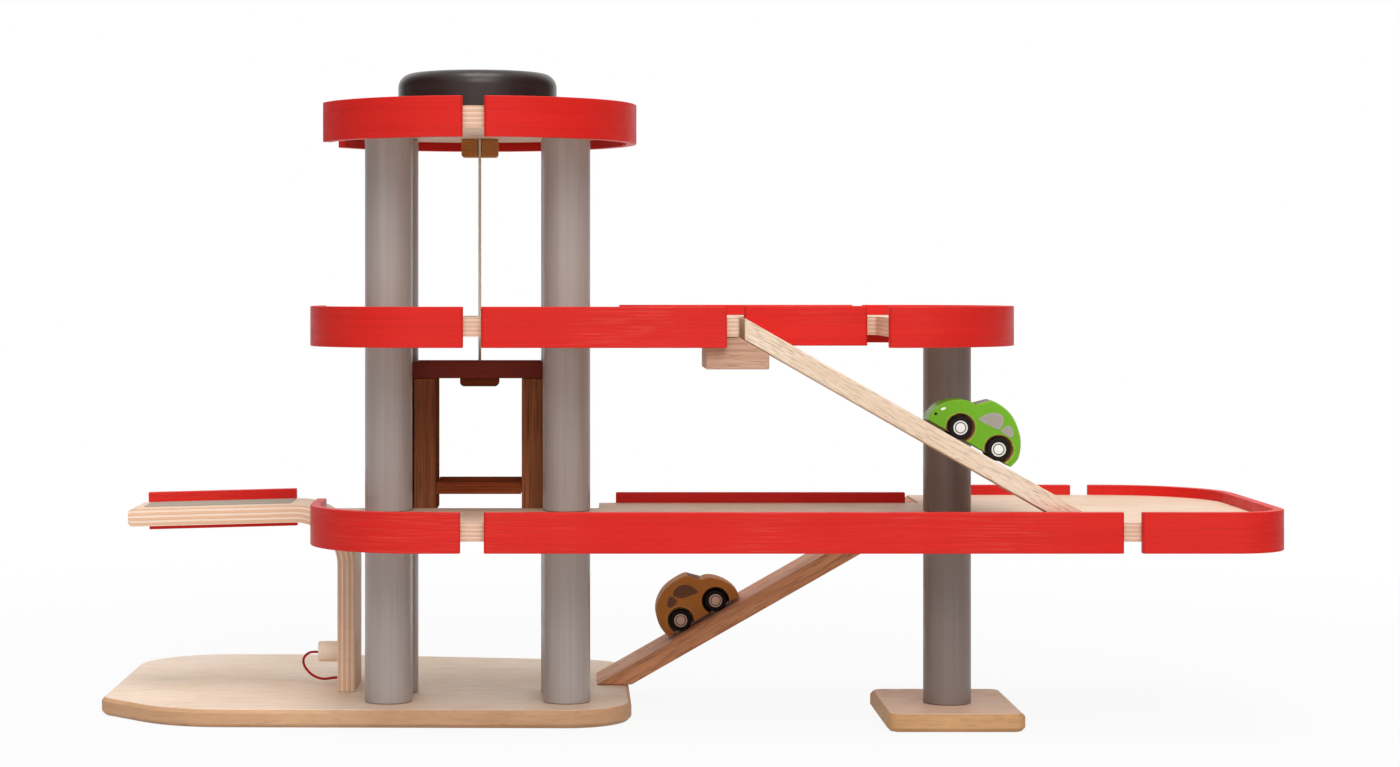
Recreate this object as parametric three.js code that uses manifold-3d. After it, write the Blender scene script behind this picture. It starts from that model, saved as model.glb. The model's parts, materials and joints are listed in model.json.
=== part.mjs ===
// Wooden toy parking garage with a hand-cranked lift, two ramps and two little cars.
// Millimetres, +Z up. X runs along the garage, Y runs from its front to its back.
// The origin is under the middle of the whole toy, on the floor.
import * as THREE from 'three';
import { mergeVertices } from 'three/addons/utils/BufferGeometryUtils.js';
import Module from 'manifold-3d';

// Clearances
const glueGap = 0.3; // between pieces that are glued or seated
const runGap = 0.8; // between the lift and the columns that guide it
const cutOverrun = 2; // how far a cutting tool reaches past what it cuts

// Boards and heights, measured from the floor
const boardThickness = 12;
const topDeckThickness = 14;
const lowerDeckHeight = 127.1; // underside of the lower deck
const middleDeckHeight = 256.6; // underside of the middle deck
const topDeckHeight = 388.7; // underside of the top deck
const lowerDeckTop = lowerDeckHeight + boardThickness;
const middleDeckTop = middleDeckHeight + boardThickness;
const topDeckTop = topDeckHeight + topDeckThickness;

// Tower: x is measured from its axis, y from the front edge of the decks
const frontColumnSpread = 59.2; // from the tower axis
const frontColumnY = 100;
const guideColumnSpread = 57.6;
const guideColumnY = 146;
const columnRadius = 15.8;
const tenonRadius = 6;
const deckLeft = -101.5; // left edge of the lower and middle decks
const deckLeftCorner = 68; // radius of the front left corner
const towerBackY = 120; // the decks stop here so that the lift can pass
const towerRight = 81.5; // from here on the decks are deeper
const deckDepth = 168;
const smallCorner = 3; // radius of the decks' minor corners

// Lower deck
const lobeLeft = 302;
const lobeDepth = 242;
const lowerDeckRight = 512;
const lobeBackCorner = 74;
const lobeFrontCorner = 30;

// Middle deck
const middleDeckRight = 347;
const notchLeft = 168.5;
const notchRight = 262.5;
const notchDepth = 68.5;
const middleEndRadius = Math.min(deckDepth / 2, middleDeckRight - notchRight);

// Top deck
const topDeckRadius = 99;
const topDeckY = 99; // its axis

// Rails
const railThickness = 6.5;
const railHeight = 26;
const railEndChamfer = 1.2;
const arcStep = Math.PI / 30;

// Ends of the rails, as places along the decks' edges
const lowerGateLeft = -7.7;
const lowerGateRight = 7.2;
const lowerSideGateLeft = 410.4;
const lowerSideGateRight = 422.1;
const lowerRightJointY = 176;
const lobeGateRight = 432.1;
const lobeGateLeft = 419.5;
const lobeRailLeft = 323.5;
const backRailLeft = 93.2;
const backRailRight = 292.7;
const leftRailBackY = 115;
const middleGateLeft = -5.9;
const middleGateRight = 5.5;
const middleFrontRailRight = 160.4;
const notchRailInset = 6.7; // from the sides of the notch
const middleJointY = 92;
const middleBackJoint = 263;
const middleBackRailRight = 256.5;
const middleBackRailLeft = 95.5;
const topGateLeft = -6.1;
const topGateRight = 7.2;
const topLeftGateFrontY = 67;
const topLeftGateBackY = 142;
const topRightJointY = 124;
const topRightJointGap = 4;

// Base board and the foot of the right column
const baseLeftMargin = 15; // from the canopy's free end to the board's end
const baseRightMargin = 27.5; // from the right front column to the board's end
const baseFrontY = 57;
const baseDepth = 291;
const baseEdgeRounding = 2.5;
// Corners of the board as shares of its length and depth, and the radius as a share of the depth
const baseCornerShares = [
  [0, 0.215, 0.07],
  [0.152, 0.021, 0.275],
  [1, 0, 0.15],
  [1, 0.875, 0.12],
  [0.36, 1, 1.3],
  [0, 1, 0.215],
];
const footLength = 90;
const footDepth = 120;
const footCorner = 9;
const rightColumnX = 312;
const rightColumnY = 95;
const footColumnOffset = 7; // from the middle of the foot to the column

// Ramps
const rampSlope = THREE.MathUtils.degToRad(29.7);
const rampThickness = 12;
const rampWidth = 60;
const upperRampY = 1;
const upperRampOffset = 3.5; // from the notch's side to the ramp's end
const lowerRampOffset = 2.5; // from the back rail to the ramp
const bracketOverlap = 21; // length of the bracket under its deck
const bracketReach = 19; // length of the bracket under its ramp
const bracketHeight = 20.4;

// Canopy of the filling bay
const canopyFrontY = 143;
const canopyDepth = 62;
const canopyLength = 154.6; // from its free end to the outside of its post
const canopyPostOutside = -84.9;
const canopyThickness = 12;
const canopyBend = 41; // outer radius
const canopyTop = 139.5; // at the bend
const canopyDroop = THREE.MathUtils.degToRad(1.5);
const canopyEndRounding = 3;
const canopyRailLength = 104;
const canopyRailInset = 5.5; // from the canopy's free end
const canopyRailDrop = 19; // from the canopy's top to the rail's lower edge
const pegRadius = 7;
const pegLength = 15;
const pegHeight = 36;
const hoseRadius = 0.9;
// The hose's route at the middle of the bay, hand-placed: x, z
const hosePoints = [
  [-112.5, 35.5], [-115.2, 35.5], [-117.9, 35.2], [-120.3, 34], [-122.1, 32],
  [-122.9, 29.5], [-122.5, 26.9], [-121.3, 24.5], [-119.6, 22.3], [-117.7, 20.4],
  [-115.5, 18.9], [-113, 17.8], [-110.5, 17.1], [-107.8, 16.9], [-105.2, 17.2],
  [-102.5, 17.6], [-99.9, 17.8], [-97.2, 17.8],
];

// Lift
const liftFrontY = 122;
const liftDepth = 58;
const liftWallThickness = 12;
const liftRoofThickness = 10.8;
const liftFloorThickness = 8;
const liftClearHeight = 70; // from the floor to the roof
const liftFloorRest = 17.3; // how far the floor stands above the lower deck
const liftShoeLip = 3.6; // how far a shoe stands above the floor
const liftShoeDrop = 12; // and how far below it
const liftGrip = 2.9; // how far roof and shoes reach round the columns
const tabWidth = 26.5;
const tabDepth = 14;
const tabHeight = 5.8;
const tabCorner = 3;

// Winding gear
const knobRadius = 52.7;
const knobHeight = 29.2;
const knobRounding = 13;
const knobWall = 3;
const knobRoof = 9;
const knobLift = 0.6; // the knob turns this far above the deck
const spoolRadius = 20;
const spoolFlange = 25;
const spoolFlangeThickness = 2;
const spoolLift = 1.5; // above the top deck
const axleRadius = 5;
const stringRadius = 1;
const stringY = 147;
const stringFeedLift = 7; // above the top deck
const guideWidth = 25;
const guideDepth = 14;
const guideHeight = 11.9;
const guideCorner = 2;

// Cars
const carWheelRadius = 7.5;
const carWheelWidth = 5.6;
const carWheelBase = 28;
const carNoseOverhang = 21.1; // from the nose to the front axle
const carWidth = 28;
const carHeight = 29.5;
const carLength = 63;
const carUnderside = 3.3; // above the road
const carEdgeRounding = 1;
const carArchRadius = 9;
const carArchDepth = 6.4;
const carBoreRadius = 2.2;
const carPegRadius = 1.9;
const carHubRadius = 4.2;
const carHubDish = 0.7;
// Side outline as shares of the length (from the nose) and of the height (from the underside)
const carNoseShares = [[0, 0], [0, 0.1]];
const carHoodShares = [[0.03, 0.33], [0.13, 0.56], [0.25, 0.72], [0.355, 0.74]];
const carScreenShares = [[0.475, 0.99]];
const carRoofShares = [[0.56, 1], [0.66, 0.97], [0.8, 0.82], [0.92, 0.57], [0.99, 0.25], [0.985, 0]];
// Where the front wheels stand on a ramp, as shares of its slope from the top
const upperCarPlaceShare = 0.59578;
const lowerCarPlaceShare = 0.60708;

// Colours
const paints = {
  beech: { color: 0xe9d2b2, roughness: 0.6, metalness: 0 },
  birch: { color: 0xecd8ba, roughness: 0.55, metalness: 0 },
  red: { color: 0xd6342c, roughness: 0.45, metalness: 0 },
  grey: { color: 0x8f8881, roughness: 0.5, metalness: 0 },
  brown: { color: 0x6b3a24, roughness: 0.6, metalness: 0 },
  maroon: { color: 0x5c2222, roughness: 0.55, metalness: 0 },
  tan: { color: 0xa06a3c, roughness: 0.6, metalness: 0 },
  black: { color: 0x2b2727, roughness: 0.35, metalness: 0 },
  cord: { color: 0xcdb58c, roughness: 0.9, metalness: 0 },
  hose: { color: 0x7d1f22, roughness: 0.8, metalness: 0 },
  green: { color: 0x6fb52c, roughness: 0.3, metalness: 0 },
  amber: { color: 0xa8642a, roughness: 0.35, metalness: 0 },
  tyre: { color: 0x262122, roughness: 0.6, metalness: 0 },
  steel: { color: 0xa9a6a2, roughness: 0.35, metalness: 1 },
};

const wasm = await Module();
wasm.setup();

// Turns a closed geometry into a solid that can be joined and cut
function solid(geometry) {
  const bare = geometry.index ? geometry.toNonIndexed() : geometry.clone();
  bare.deleteAttribute('normal');
  bare.deleteAttribute('uv');
  const merged = mergeVertices(bare);
  return new wasm.Manifold(new wasm.Mesh({
    numProp: 3,
    vertProperties: new Float32Array(merged.attributes.position.array),
    triVerts: new Uint32Array(merged.index.array),
  }));
}

// Turns a solid back into a geometry
function geometryOf(body) {
  const mesh = body.getMesh();
  const geometry = new THREE.BufferGeometry();
  geometry.setAttribute('position', new THREE.BufferAttribute(new Float32Array(mesh.vertProperties), 3));
  geometry.setIndex(Array.from(mesh.triVerts));
  geometry.computeVertexNormals();
  return geometry;
}

// Cuts every tool out of a geometry
function cut(geometry, tools) {
  return geometryOf(tools.reduce((body, tool) => body.subtract(solid(tool)), solid(geometry)));
}

// A corner of an outline with its own radius
function corner(x, y, radius) {
  return { x, y, radius };
}

// Points of a closed outline, counterclockwise, with every corner rounded
function roundedOutline(corners) {
  const points = [];
  corners.forEach((here, index) => {
    const before = corners[(index + corners.length - 1) % corners.length];
    const after = corners[(index + 1) % corners.length];
    const at = new THREE.Vector2(here.x, here.y);
    const back = new THREE.Vector2(before.x, before.y).sub(at).normalize();
    const ahead = new THREE.Vector2(after.x, after.y).sub(at).normalize();
    const half = Math.acos(THREE.MathUtils.clamp(back.dot(ahead), -1, 1)) / 2;
    const reach = here.radius / Math.tan(half);
    const start = at.clone().addScaledVector(back, reach);
    const turn = Math.PI - 2 * half;
    const side = Math.sign(ahead.cross(back));
    const centre = start.clone().add(new THREE.Vector2(back.y, -back.x).multiplyScalar(side * here.radius));
    const steps = here.radius > 0 ? Math.max(1, Math.round(turn / arcStep)) : 0;
    for (let step = 0; step <= steps; step += 1) {
      points.push(start.clone().rotateAround(centre, side * turn * (steps ? step / steps : 0)));
    }
  });
  return points;
}

// A circle as outline points, counterclockwise from its front
function circleOutline(x, y, radius) {
  const steps = Math.round((2 * Math.PI) / arcStep);
  return Array.from({ length: steps }, (unused, step) => {
    const angle = -Math.PI / 2 + (2 * Math.PI * step) / steps;
    return new THREE.Vector2(x + radius * Math.cos(angle), y + radius * Math.sin(angle));
  });
}

// A flat board of the given outline, standing on height
function board(outline, height, thickness, holes, rounding = 0) {
  const shape = new THREE.Shape(outline);
  holes.forEach(([x, y, radius]) => {
    const hole = new THREE.Path();
    hole.absarc(x, y, radius, 0, 2 * Math.PI, true);
    shape.holes.push(hole);
  });
  const geometry = new THREE.ExtrudeGeometry(shape, {
    depth: thickness - 2 * rounding,
    curveSegments: 10,
    bevelEnabled: rounding > 0,
    bevelThickness: rounding,
    bevelSize: rounding,
    bevelOffset: -rounding,
    bevelSegments: 1,
  });
  return geometry.translate(0, 0, height + rounding);
}

// Where on a closed outline a place lies: the length along it from its first point
function placeOn(outline, x, y) {
  const target = new THREE.Vector2(x, y);
  let along = 0;
  let best = { distance: Infinity, along: 0 };
  outline.forEach((from, index) => {
    const to = outline[(index + 1) % outline.length];
    const span = to.clone().sub(from);
    const length = span.length();
    const share = THREE.MathUtils.clamp(target.clone().sub(from).dot(span) / (length * length || 1), 0, 1);
    const distance = target.distanceTo(from.clone().addScaledVector(span, share));
    if (distance < best.distance) {
      best = { distance, along: along + share * length };
    }
    along += length;
  });
  return best.along;
}

// The stretch of a closed outline from one place to another, counterclockwise
function stretch(outline, from, to) {
  const start = placeOn(outline, ...from);
  const end = placeOn(outline, ...to);
  const lengths = outline.map((point, index) => point.distanceTo(outline[(index + 1) % outline.length]));
  const total = lengths.reduce((sum, length) => sum + length, 0);
  const reach = (end - start + total) % total;
  const pointAt = (along) => {
    let rest = ((along % total) + total) % total;
    let index = 0;
    while (rest > lengths[index]) {
      rest -= lengths[index];
      index += 1;
    }
    const next = outline[(index + 1) % outline.length];
    return outline[index].clone().lerp(next, lengths[index] ? rest / lengths[index] : 0);
  };
  const points = [pointAt(start)];
  let along = 0;
  outline.forEach((point, index) => {
    along += index ? lengths[index - 1] : 0;
    const ahead = (along - start + total) % total;
    if (ahead > 2 * railEndChamfer && ahead < reach - 2 * railEndChamfer) {
      points.push(point.clone());
      points[points.length - 1].ahead = ahead;
    }
  });
  const inner = points.slice(1).sort((a, b) => a.ahead - b.ahead);
  return [points[0], ...inner, pointAt(start + reach)];
}

// A path moved sideways, to the right of its direction
function offsetPath(path, distance) {
  return path.map((point, index) => {
    const before = path[Math.max(index - 1, 0)];
    const after = path[Math.min(index + 1, path.length - 1)];
    const arriving = point.clone().sub(before).normalize();
    const leaving = after.clone().sub(point).normalize();
    const heading = arriving.add(leaving).normalize();
    const stretchBy = index === 0 || index === path.length - 1 ? 1
      : 1 / Math.max(0.5, heading.dot(after.clone().sub(point).normalize()));
    return point.clone().addScaledVector(new THREE.Vector2(heading.y, -heading.x), distance * stretchBy);
  });
}

// Pulls the two ends of a path in, so that its rail gets chamfered ends
function shortened(path, by) {
  const result = path.map((point) => point.clone());
  const last = result.length - 1;
  result[0].addScaledVector(path[1].clone().sub(path[0]).normalize(), by);
  result[last].addScaledVector(path[last - 1].clone().sub(path[last]).normalize(), by);
  return result;
}

// A rail glued to a deck's edge from one place on it to another
function rail(outline, from, to, deckHeight, deckThickness) {
  const path = stretch(outline, from, to);
  const inside = offsetPath(path, glueGap);
  const outside = shortened(offsetPath(path, glueGap + railThickness), railEndChamfer);
  const middle = offsetPath(path, glueGap + railThickness - railEndChamfer);
  const ring = [...inside, middle[middle.length - 1], ...outside.reverse(), middle[0]];
  const shape = new THREE.Shape(ring);
  const geometry = new THREE.ExtrudeGeometry(shape, { depth: railHeight, bevelEnabled: false });
  return geometry.translate(0, 0, deckHeight - (railHeight - deckThickness) / 2);
}

// A board cut to a side outline in x and z, and as deep as given in y
function sideBoard(points, y, depth) {
  const shape = new THREE.Shape(points.map(([x, z]) => new THREE.Vector2(x, z)));
  const geometry = new THREE.ExtrudeGeometry(shape, { depth, bevelEnabled: false });
  return geometry.rotateX(Math.PI / 2).translate(0, y + depth, 0);
}

// A box between two corners
function block(x, y, z, width, depth, height) {
  return new THREE.BoxGeometry(width, depth, height).translate(x + width / 2, y + depth / 2, z + height / 2);
}

// A turned piece about a vertical axis, from a profile of radius and height
function turned(profile, segments) {
  return new THREE.LatheGeometry(profile.map(([r, z]) => new THREE.Vector2(r, z)), segments).rotateX(Math.PI / 2);
}

const garage = new THREE.Group();
const baseLeft = canopyPostOutside - canopyLength - baseLeftMargin;
const baseLength = frontColumnSpread + columnRadius + baseRightMargin - baseLeft;
const railRight = lowerDeckRight + glueGap + railThickness;
const railFront = -glueGap - railThickness;
garage.position.set(-(baseLeft + railRight) / 2, -(baseFrontY + baseDepth + railFront) / 2, 0);

// Adds one named piece to a group
function add(group, name, geometry, paint) {
  const mesh = new THREE.Mesh(geometry, new THREE.MeshStandardMaterial(paints[paint]));
  mesh.name = name;
  group.add(mesh);
  return mesh;
}

// Holes for the columns' tenons
function tenonHoles(places) {
  return places.map(([x, y]) => [x, y, tenonRadius + glueGap]);
}

const frontColumns = [[-frontColumnSpread, frontColumnY], [frontColumnSpread, frontColumnY]];
const guideColumns = [[-guideColumnSpread, guideColumnY], [guideColumnSpread, guideColumnY]];
const rightColumn = [rightColumnX, rightColumnY];

// Base board, from beyond the canopy's free end to beyond the right front column, and foot
const baseOutline = roundedOutline(baseCornerShares.map(([along, across, radius]) => (
  corner(baseLeft + along * baseLength, baseFrontY + across * baseDepth, radius * baseDepth))));
add(garage, 'base_board', board(baseOutline, 0, boardThickness, [], baseEdgeRounding), 'beech');
const footLeft = rightColumnX - footLength / 2;
const footFront = rightColumnY + footColumnOffset - footDepth / 2;
const footOutline = roundedOutline([
  corner(footLeft, footFront, footCorner),
  corner(footLeft + footLength, footFront, footCorner),
  corner(footLeft + footLength, footFront + footDepth, footCorner),
  corner(footLeft, footFront + footDepth, footCorner),
]);
add(garage, 'foot_plate', board(footOutline, 0, boardThickness, [], baseEdgeRounding), 'beech');

// A column with a tenon on top that goes into the deck above
function column(x, y, bottom, top, deckThickness) {
  const foot = bottom + glueGap;
  const shoulder = top - glueGap;
  const tip = top + deckThickness - glueGap;
  const profile = [
    [0, foot], [columnRadius, foot], [columnRadius, shoulder], [tenonRadius, shoulder], [tenonRadius, tip], [0, tip],
  ];
  return turned(profile, 28).translate(x, y, 0);
}

// The columns stand between two boards each
const sides = ['left', 'right'];
sides.forEach((side, index) => {
  const [x, y] = frontColumns[index];
  add(garage, `${side}_column_lower`, column(x, y, boardThickness, lowerDeckHeight, boardThickness), 'grey');
  add(garage, `${side}_column_middle`, column(x, y, lowerDeckTop, middleDeckHeight, boardThickness), 'grey');
  add(garage, `${side}_column_upper`, column(x, y, middleDeckTop, topDeckHeight, topDeckThickness), 'grey');
  const [guideX, guideY] = guideColumns[index];
  const guide = column(guideX, guideY, boardThickness, topDeckHeight, topDeckThickness);
  add(garage, `${side}_guide_column`, guide, 'grey');
});
add(garage, 'end_column_lower', column(...rightColumn, boardThickness, lowerDeckHeight, boardThickness), 'grey');
add(garage, 'end_column_upper', column(...rightColumn, lowerDeckTop, middleDeckHeight, boardThickness), 'grey');

// Lower deck
const lowerOutline = roundedOutline([
  corner(deckLeft, 0, deckLeftCorner),
  corner(lowerDeckRight, 0, lobeFrontCorner),
  corner(lowerDeckRight, lobeDepth, lobeBackCorner),
  corner(lobeLeft, lobeDepth, smallCorner),
  corner(lobeLeft, deckDepth, smallCorner),
  corner(towerRight, deckDepth, smallCorner),
  corner(towerRight, towerBackY, smallCorner),
  corner(deckLeft, towerBackY, smallCorner),
]);
const deckHoles = tenonHoles([...frontColumns, rightColumn]);
add(garage, 'lower_deck', board(lowerOutline, lowerDeckHeight, boardThickness, deckHoles), 'birch');

const lowerRails = {
  lower_rail_left: [[deckLeft, leftRailBackY], [lowerGateLeft, 0]],
  lower_rail_front: [[lowerGateRight, 0], [lowerSideGateLeft, 0]],
  lower_rail_front_corner: [[lowerSideGateRight, 0], [lowerDeckRight, lowerRightJointY - glueGap]],
  lower_rail_back_corner: [[lowerDeckRight, lowerRightJointY + glueGap], [lobeGateRight, lobeDepth]],
  lower_rail_lobe: [[lobeGateLeft, lobeDepth], [lobeRailLeft, lobeDepth]],
  lower_rail_back: [[backRailRight, deckDepth], [backRailLeft, deckDepth]],
};
Object.entries(lowerRails).forEach(([name, [from, to]]) => {
  add(garage, name, rail(lowerOutline, from, to, lowerDeckHeight, boardThickness), 'red');
});

// Middle deck, with a notch for the upper ramp
const middleOutline = roundedOutline([
  corner(deckLeft, 0, deckLeftCorner),
  corner(notchLeft, 0, smallCorner),
  corner(notchLeft, notchDepth, smallCorner),
  corner(notchRight, notchDepth, smallCorner),
  corner(notchRight, 0, 0),
  corner(middleDeckRight, 0, middleEndRadius - glueGap),
  corner(middleDeckRight, deckDepth, middleEndRadius - glueGap),
  corner(towerRight, deckDepth, smallCorner),
  corner(towerRight, towerBackY, smallCorner),
  corner(deckLeft, towerBackY, smallCorner),
]);
add(garage, 'middle_deck', board(middleOutline, middleDeckHeight, boardThickness, deckHoles), 'birch');

const middleRails = {
  middle_rail_left: [[deckLeft, leftRailBackY], [middleGateLeft, 0]],
  middle_rail_front: [[middleGateRight, 0], [middleFrontRailRight, 0]],
  middle_rail_notch: [[notchLeft + notchRailInset, notchDepth], [notchRight - notchRailInset, notchDepth]],
  middle_rail_front_end: [[notchRight, 0], [middleDeckRight, middleJointY - glueGap]],
  middle_rail_back_end: [[middleDeckRight, middleJointY + glueGap], [middleBackJoint, deckDepth]],
  middle_rail_back: [[middleBackRailRight, deckDepth], [middleBackRailLeft, deckDepth]],
};
Object.entries(middleRails).forEach(([name, [from, to]]) => {
  add(garage, name, rail(middleOutline, from, to, middleDeckHeight, boardThickness), 'red');
});

// Top deck
const topOutline = circleOutline(0, topDeckY, topDeckRadius);
const topHoles = [
  ...tenonHoles([...frontColumns, ...guideColumns]),
  [0, topDeckY, axleRadius + glueGap],
  [0, stringY, stringRadius + runGap],
];
add(garage, 'top_deck', board(topOutline, topDeckHeight, topDeckThickness, topHoles), 'birch');
const topLeft = -topDeckRadius;
const topRails = {
  top_rail_front_left: [[topLeft, topLeftGateFrontY], [topGateLeft, 0]],
  top_rail_front_right: [[topGateRight, 0], [topDeckRadius, topRightJointY]],
  top_rail_back: [[topDeckRadius, topRightJointY + topRightJointGap], [topLeft, topLeftGateBackY]],
};
Object.entries(topRails).forEach(([name, [from, to]]) => {
  add(garage, name, rail(topOutline, from, to, topDeckHeight, topDeckThickness), 'red');
});

// Ramps: a board with an upright end at the top and a flat foot
const rampFall = Math.tan(rampSlope);
const rampDrop = rampThickness / Math.cos(rampSlope);
function rampProfile(topX, top, foot, direction) {
  const run = (top - foot) / rampFall;
  const footRun = rampDrop / rampFall;
  return [
    [topX, top],
    [topX, top - rampDrop],
    [topX + direction * (run - footRun), foot],
    [topX + direction * run, foot],
  ];
}
const upperRampTopX = notchLeft + upperRampOffset;
const upperRamp = rampProfile(upperRampTopX, middleDeckTop - glueGap, lowerDeckTop + glueGap, 1);
add(garage, 'upper_ramp', sideBoard(upperRamp, upperRampY, rampWidth), 'beech');
const lowerRampTopX = lobeLeft - glueGap;
const lowerRampY = deckDepth + glueGap + railThickness + lowerRampOffset;
const lowerRamp = rampProfile(lowerRampTopX, lowerDeckTop - glueGap, boardThickness + glueGap, -1).reverse();
add(garage, 'lower_ramp', sideBoard(lowerRamp, lowerRampY, rampWidth), 'beech');

// A wedge block under a deck that also carries the top end of a ramp
function bracketProfile(edgeX, deckHeight, rampX, rampTop, direction) {
  const top = deckHeight - glueGap;
  const bottom = top - bracketHeight;
  const seatDrop = rampDrop + glueGap / Math.cos(rampSlope);
  const bearing = rampTop - seatDrop;
  const seatStart = rampX + direction * ((bearing - top) / rampFall);
  const end = edgeX + direction * bracketReach;
  const seatEnd = bearing - Math.abs(end - rampX) * rampFall;
  return [
    [edgeX - direction * bracketOverlap, top],
    [edgeX - direction * bracketOverlap, bottom],
    [end, bottom],
    [end, seatEnd],
    [seatStart, top],
  ];
}
const upperBracket = bracketProfile(
  notchLeft, middleDeckHeight, upperRampTopX, middleDeckTop - glueGap, 1);
add(garage, 'upper_ramp_bracket', sideBoard(upperBracket, upperRampY, rampWidth), 'beech');
const lowerBracket = bracketProfile(
  lobeLeft, lowerDeckHeight, lowerRampTopX, lowerDeckTop - glueGap, -1).reverse();
add(garage, 'lower_ramp_bracket', sideBoard(lowerBracket, lowerRampY, rampWidth), 'beech');

// Canopy of the filling bay: one bent board, its post standing on the base
function canopyProfile() {
  const bendX = canopyPostOutside - canopyBend;
  const bendZ = canopyTop - canopyBend;
  const inner = canopyBend - canopyThickness;
  const steps = 8;
  const quarter = Math.PI / 2 + canopyDroop;
  const arc = (radius) => Array.from({ length: steps + 1 }, (unused, step) => {
    const angle = (quarter * step) / steps;
    return [bendX + radius * Math.cos(angle), bendZ + radius * Math.sin(angle)];
  });
  const outerArc = arc(canopyBend);
  const innerArc = arc(inner).reverse();
  const tip = canopyPostOutside - canopyLength;
  const along = ([x, z]) => [tip, z - (x - tip) * Math.tan(canopyDroop)];
  const outerTip = along(outerArc[steps]);
  const innerTip = along(innerArc[0]);
  return [
    [canopyPostOutside, boardThickness + glueGap],
    ...outerArc,
    [outerTip[0] + canopyEndRounding, outerTip[1]],
    [outerTip[0], outerTip[1] - canopyEndRounding],
    [innerTip[0], innerTip[1] + canopyEndRounding],
    [innerTip[0] + canopyEndRounding, innerTip[1]],
    ...innerArc,
    [canopyPostOutside - canopyThickness, boardThickness + glueGap],
  ];
}
add(garage, 'canopy', sideBoard(canopyProfile(), canopyFrontY, canopyDepth), 'birch');

// Its rail, along the far edge, sloping as the canopy does
const canopyRail = block(0, 0, 0, canopyRailLength, railThickness, railHeight);
const canopyRailMesh = add(garage, 'canopy_rail', canopyRail, 'red');
const canopyTipX = canopyPostOutside - canopyLength;
const canopyTipFall = (canopyLength - canopyBend) * Math.tan(canopyDroop);
canopyRailMesh.position.set(
  canopyTipX + canopyRailInset,
  canopyFrontY + canopyDepth + glueGap,
  canopyTop - canopyTipFall - canopyRailDrop,
);
canopyRailMesh.rotation.y = -canopyDroop;

// Pump: a peg on the post and a short hose
const bayY = canopyFrontY + canopyDepth / 2;
const postInside = canopyPostOutside - canopyThickness;
const peg = new THREE.CylinderGeometry(pegRadius, pegRadius, pegLength, 24).rotateZ(Math.PI / 2);
peg.translate(postInside - glueGap - pegLength / 2, bayY, pegHeight);
add(garage, 'pump_peg', peg, 'beech');
const hoseCurve = new THREE.CatmullRomCurve3(hosePoints.map(([x, z]) => new THREE.Vector3(x, bayY, z)));
const hoseSection = new THREE.Shape();
hoseSection.absarc(0, 0, hoseRadius, 0, 2 * Math.PI, false);
const hose = new THREE.ExtrudeGeometry(hoseSection, { extrudePath: hoseCurve, steps: 20, curveSegments: 4 });
add(garage, 'pump_hose', hose, 'hose');

// Lift: walls between roof and floor, which reach round the guide columns
const lift = new THREE.Group();
garage.add(lift);
const liftFloorTop = lowerDeckTop + liftFloorRest;
const liftRoofBottom = liftFloorTop + liftClearHeight;
const liftRoofTop = liftRoofBottom + liftRoofThickness;
const liftHalf = guideColumnSpread - columnRadius - runGap;
const liftInside = liftHalf - liftWallThickness;
const liftReach = guideColumnSpread - columnRadius + liftGrip;
const shoeTop = liftFloorTop + liftShoeLip;
const shoeBottom = liftFloorTop - liftFloorThickness - liftShoeDrop;

// The space that a guide column takes out of the lift, with its running clearance
function columnSpace(x) {
  const tall = topDeckHeight;
  const space = new THREE.CylinderGeometry(columnRadius + runGap, columnRadius + runGap, tall, 48);
  return space.rotateX(Math.PI / 2).translate(x, guideColumnY, tall / 2);
}
const columnSpaces = guideColumns.map(([x]) => columnSpace(x));
const roof = block(-liftReach, liftFrontY, liftRoofBottom, 2 * liftReach, liftDepth, liftRoofThickness);
add(lift, 'lift_roof', cut(roof, columnSpaces), 'maroon');
const liftFloorHalf = liftInside - glueGap;
const liftFloorBottom = liftFloorTop - liftFloorThickness;
const liftFloor = block(-liftFloorHalf, liftFrontY, liftFloorBottom, 2 * liftFloorHalf, liftDepth, liftFloorThickness);
add(lift, 'lift_floor', liftFloor, 'brown');
sides.forEach((side, index) => {
  const direction = index * 2 - 1;
  const wallX = direction < 0 ? -liftHalf : liftInside;
  const wallHeight = liftRoofBottom - glueGap - shoeTop - glueGap;
  const wall = block(wallX, liftFrontY, shoeTop + glueGap, liftWallThickness, liftDepth, wallHeight);
  add(lift, `lift_wall_${side}`, wall, 'brown');
  const shoeX = direction < 0 ? -liftReach : liftInside;
  const shoe = block(shoeX, liftFrontY, shoeBottom, liftReach - liftInside, liftDepth, shoeTop - shoeBottom);
  add(lift, `lift_shoe_${side}`, cut(shoe, [columnSpaces[index]]), 'brown');
});

// A block hanging under something, with its lower corners rounded
function hangingBlock(width, height, radius, top, y, depth) {
  const half = width / 2;
  const points = roundedOutline([
    corner(-half, top - height, radius),
    corner(half, top - height, radius),
    corner(half, top, 0),
    corner(-half, top, 0),
  ]);
  return sideBoard(points.map((point) => [point.x, point.y]), y, depth);
}
const tab = hangingBlock(tabWidth, tabHeight, tabCorner, liftRoofBottom - glueGap, stringY - tabDepth / 2, tabDepth);
add(lift, 'lift_string_tab', tab, 'brown');

// Guide for the string, under the top deck, grooved for it
const guideTop = topDeckHeight - glueGap;
const guideFront = stringY - stringRadius;
const guideBody = hangingBlock(guideWidth, guideHeight, guideCorner, guideTop, guideFront, guideDepth);
const groove = new THREE.CylinderGeometry(
  stringRadius + runGap, stringRadius + runGap, guideHeight + 2 * cutOverrun, 16);
groove.rotateX(Math.PI / 2).translate(0, stringY, guideTop - guideHeight / 2);
add(garage, 'string_guide', cut(guideBody, [groove]), 'tan');

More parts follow.
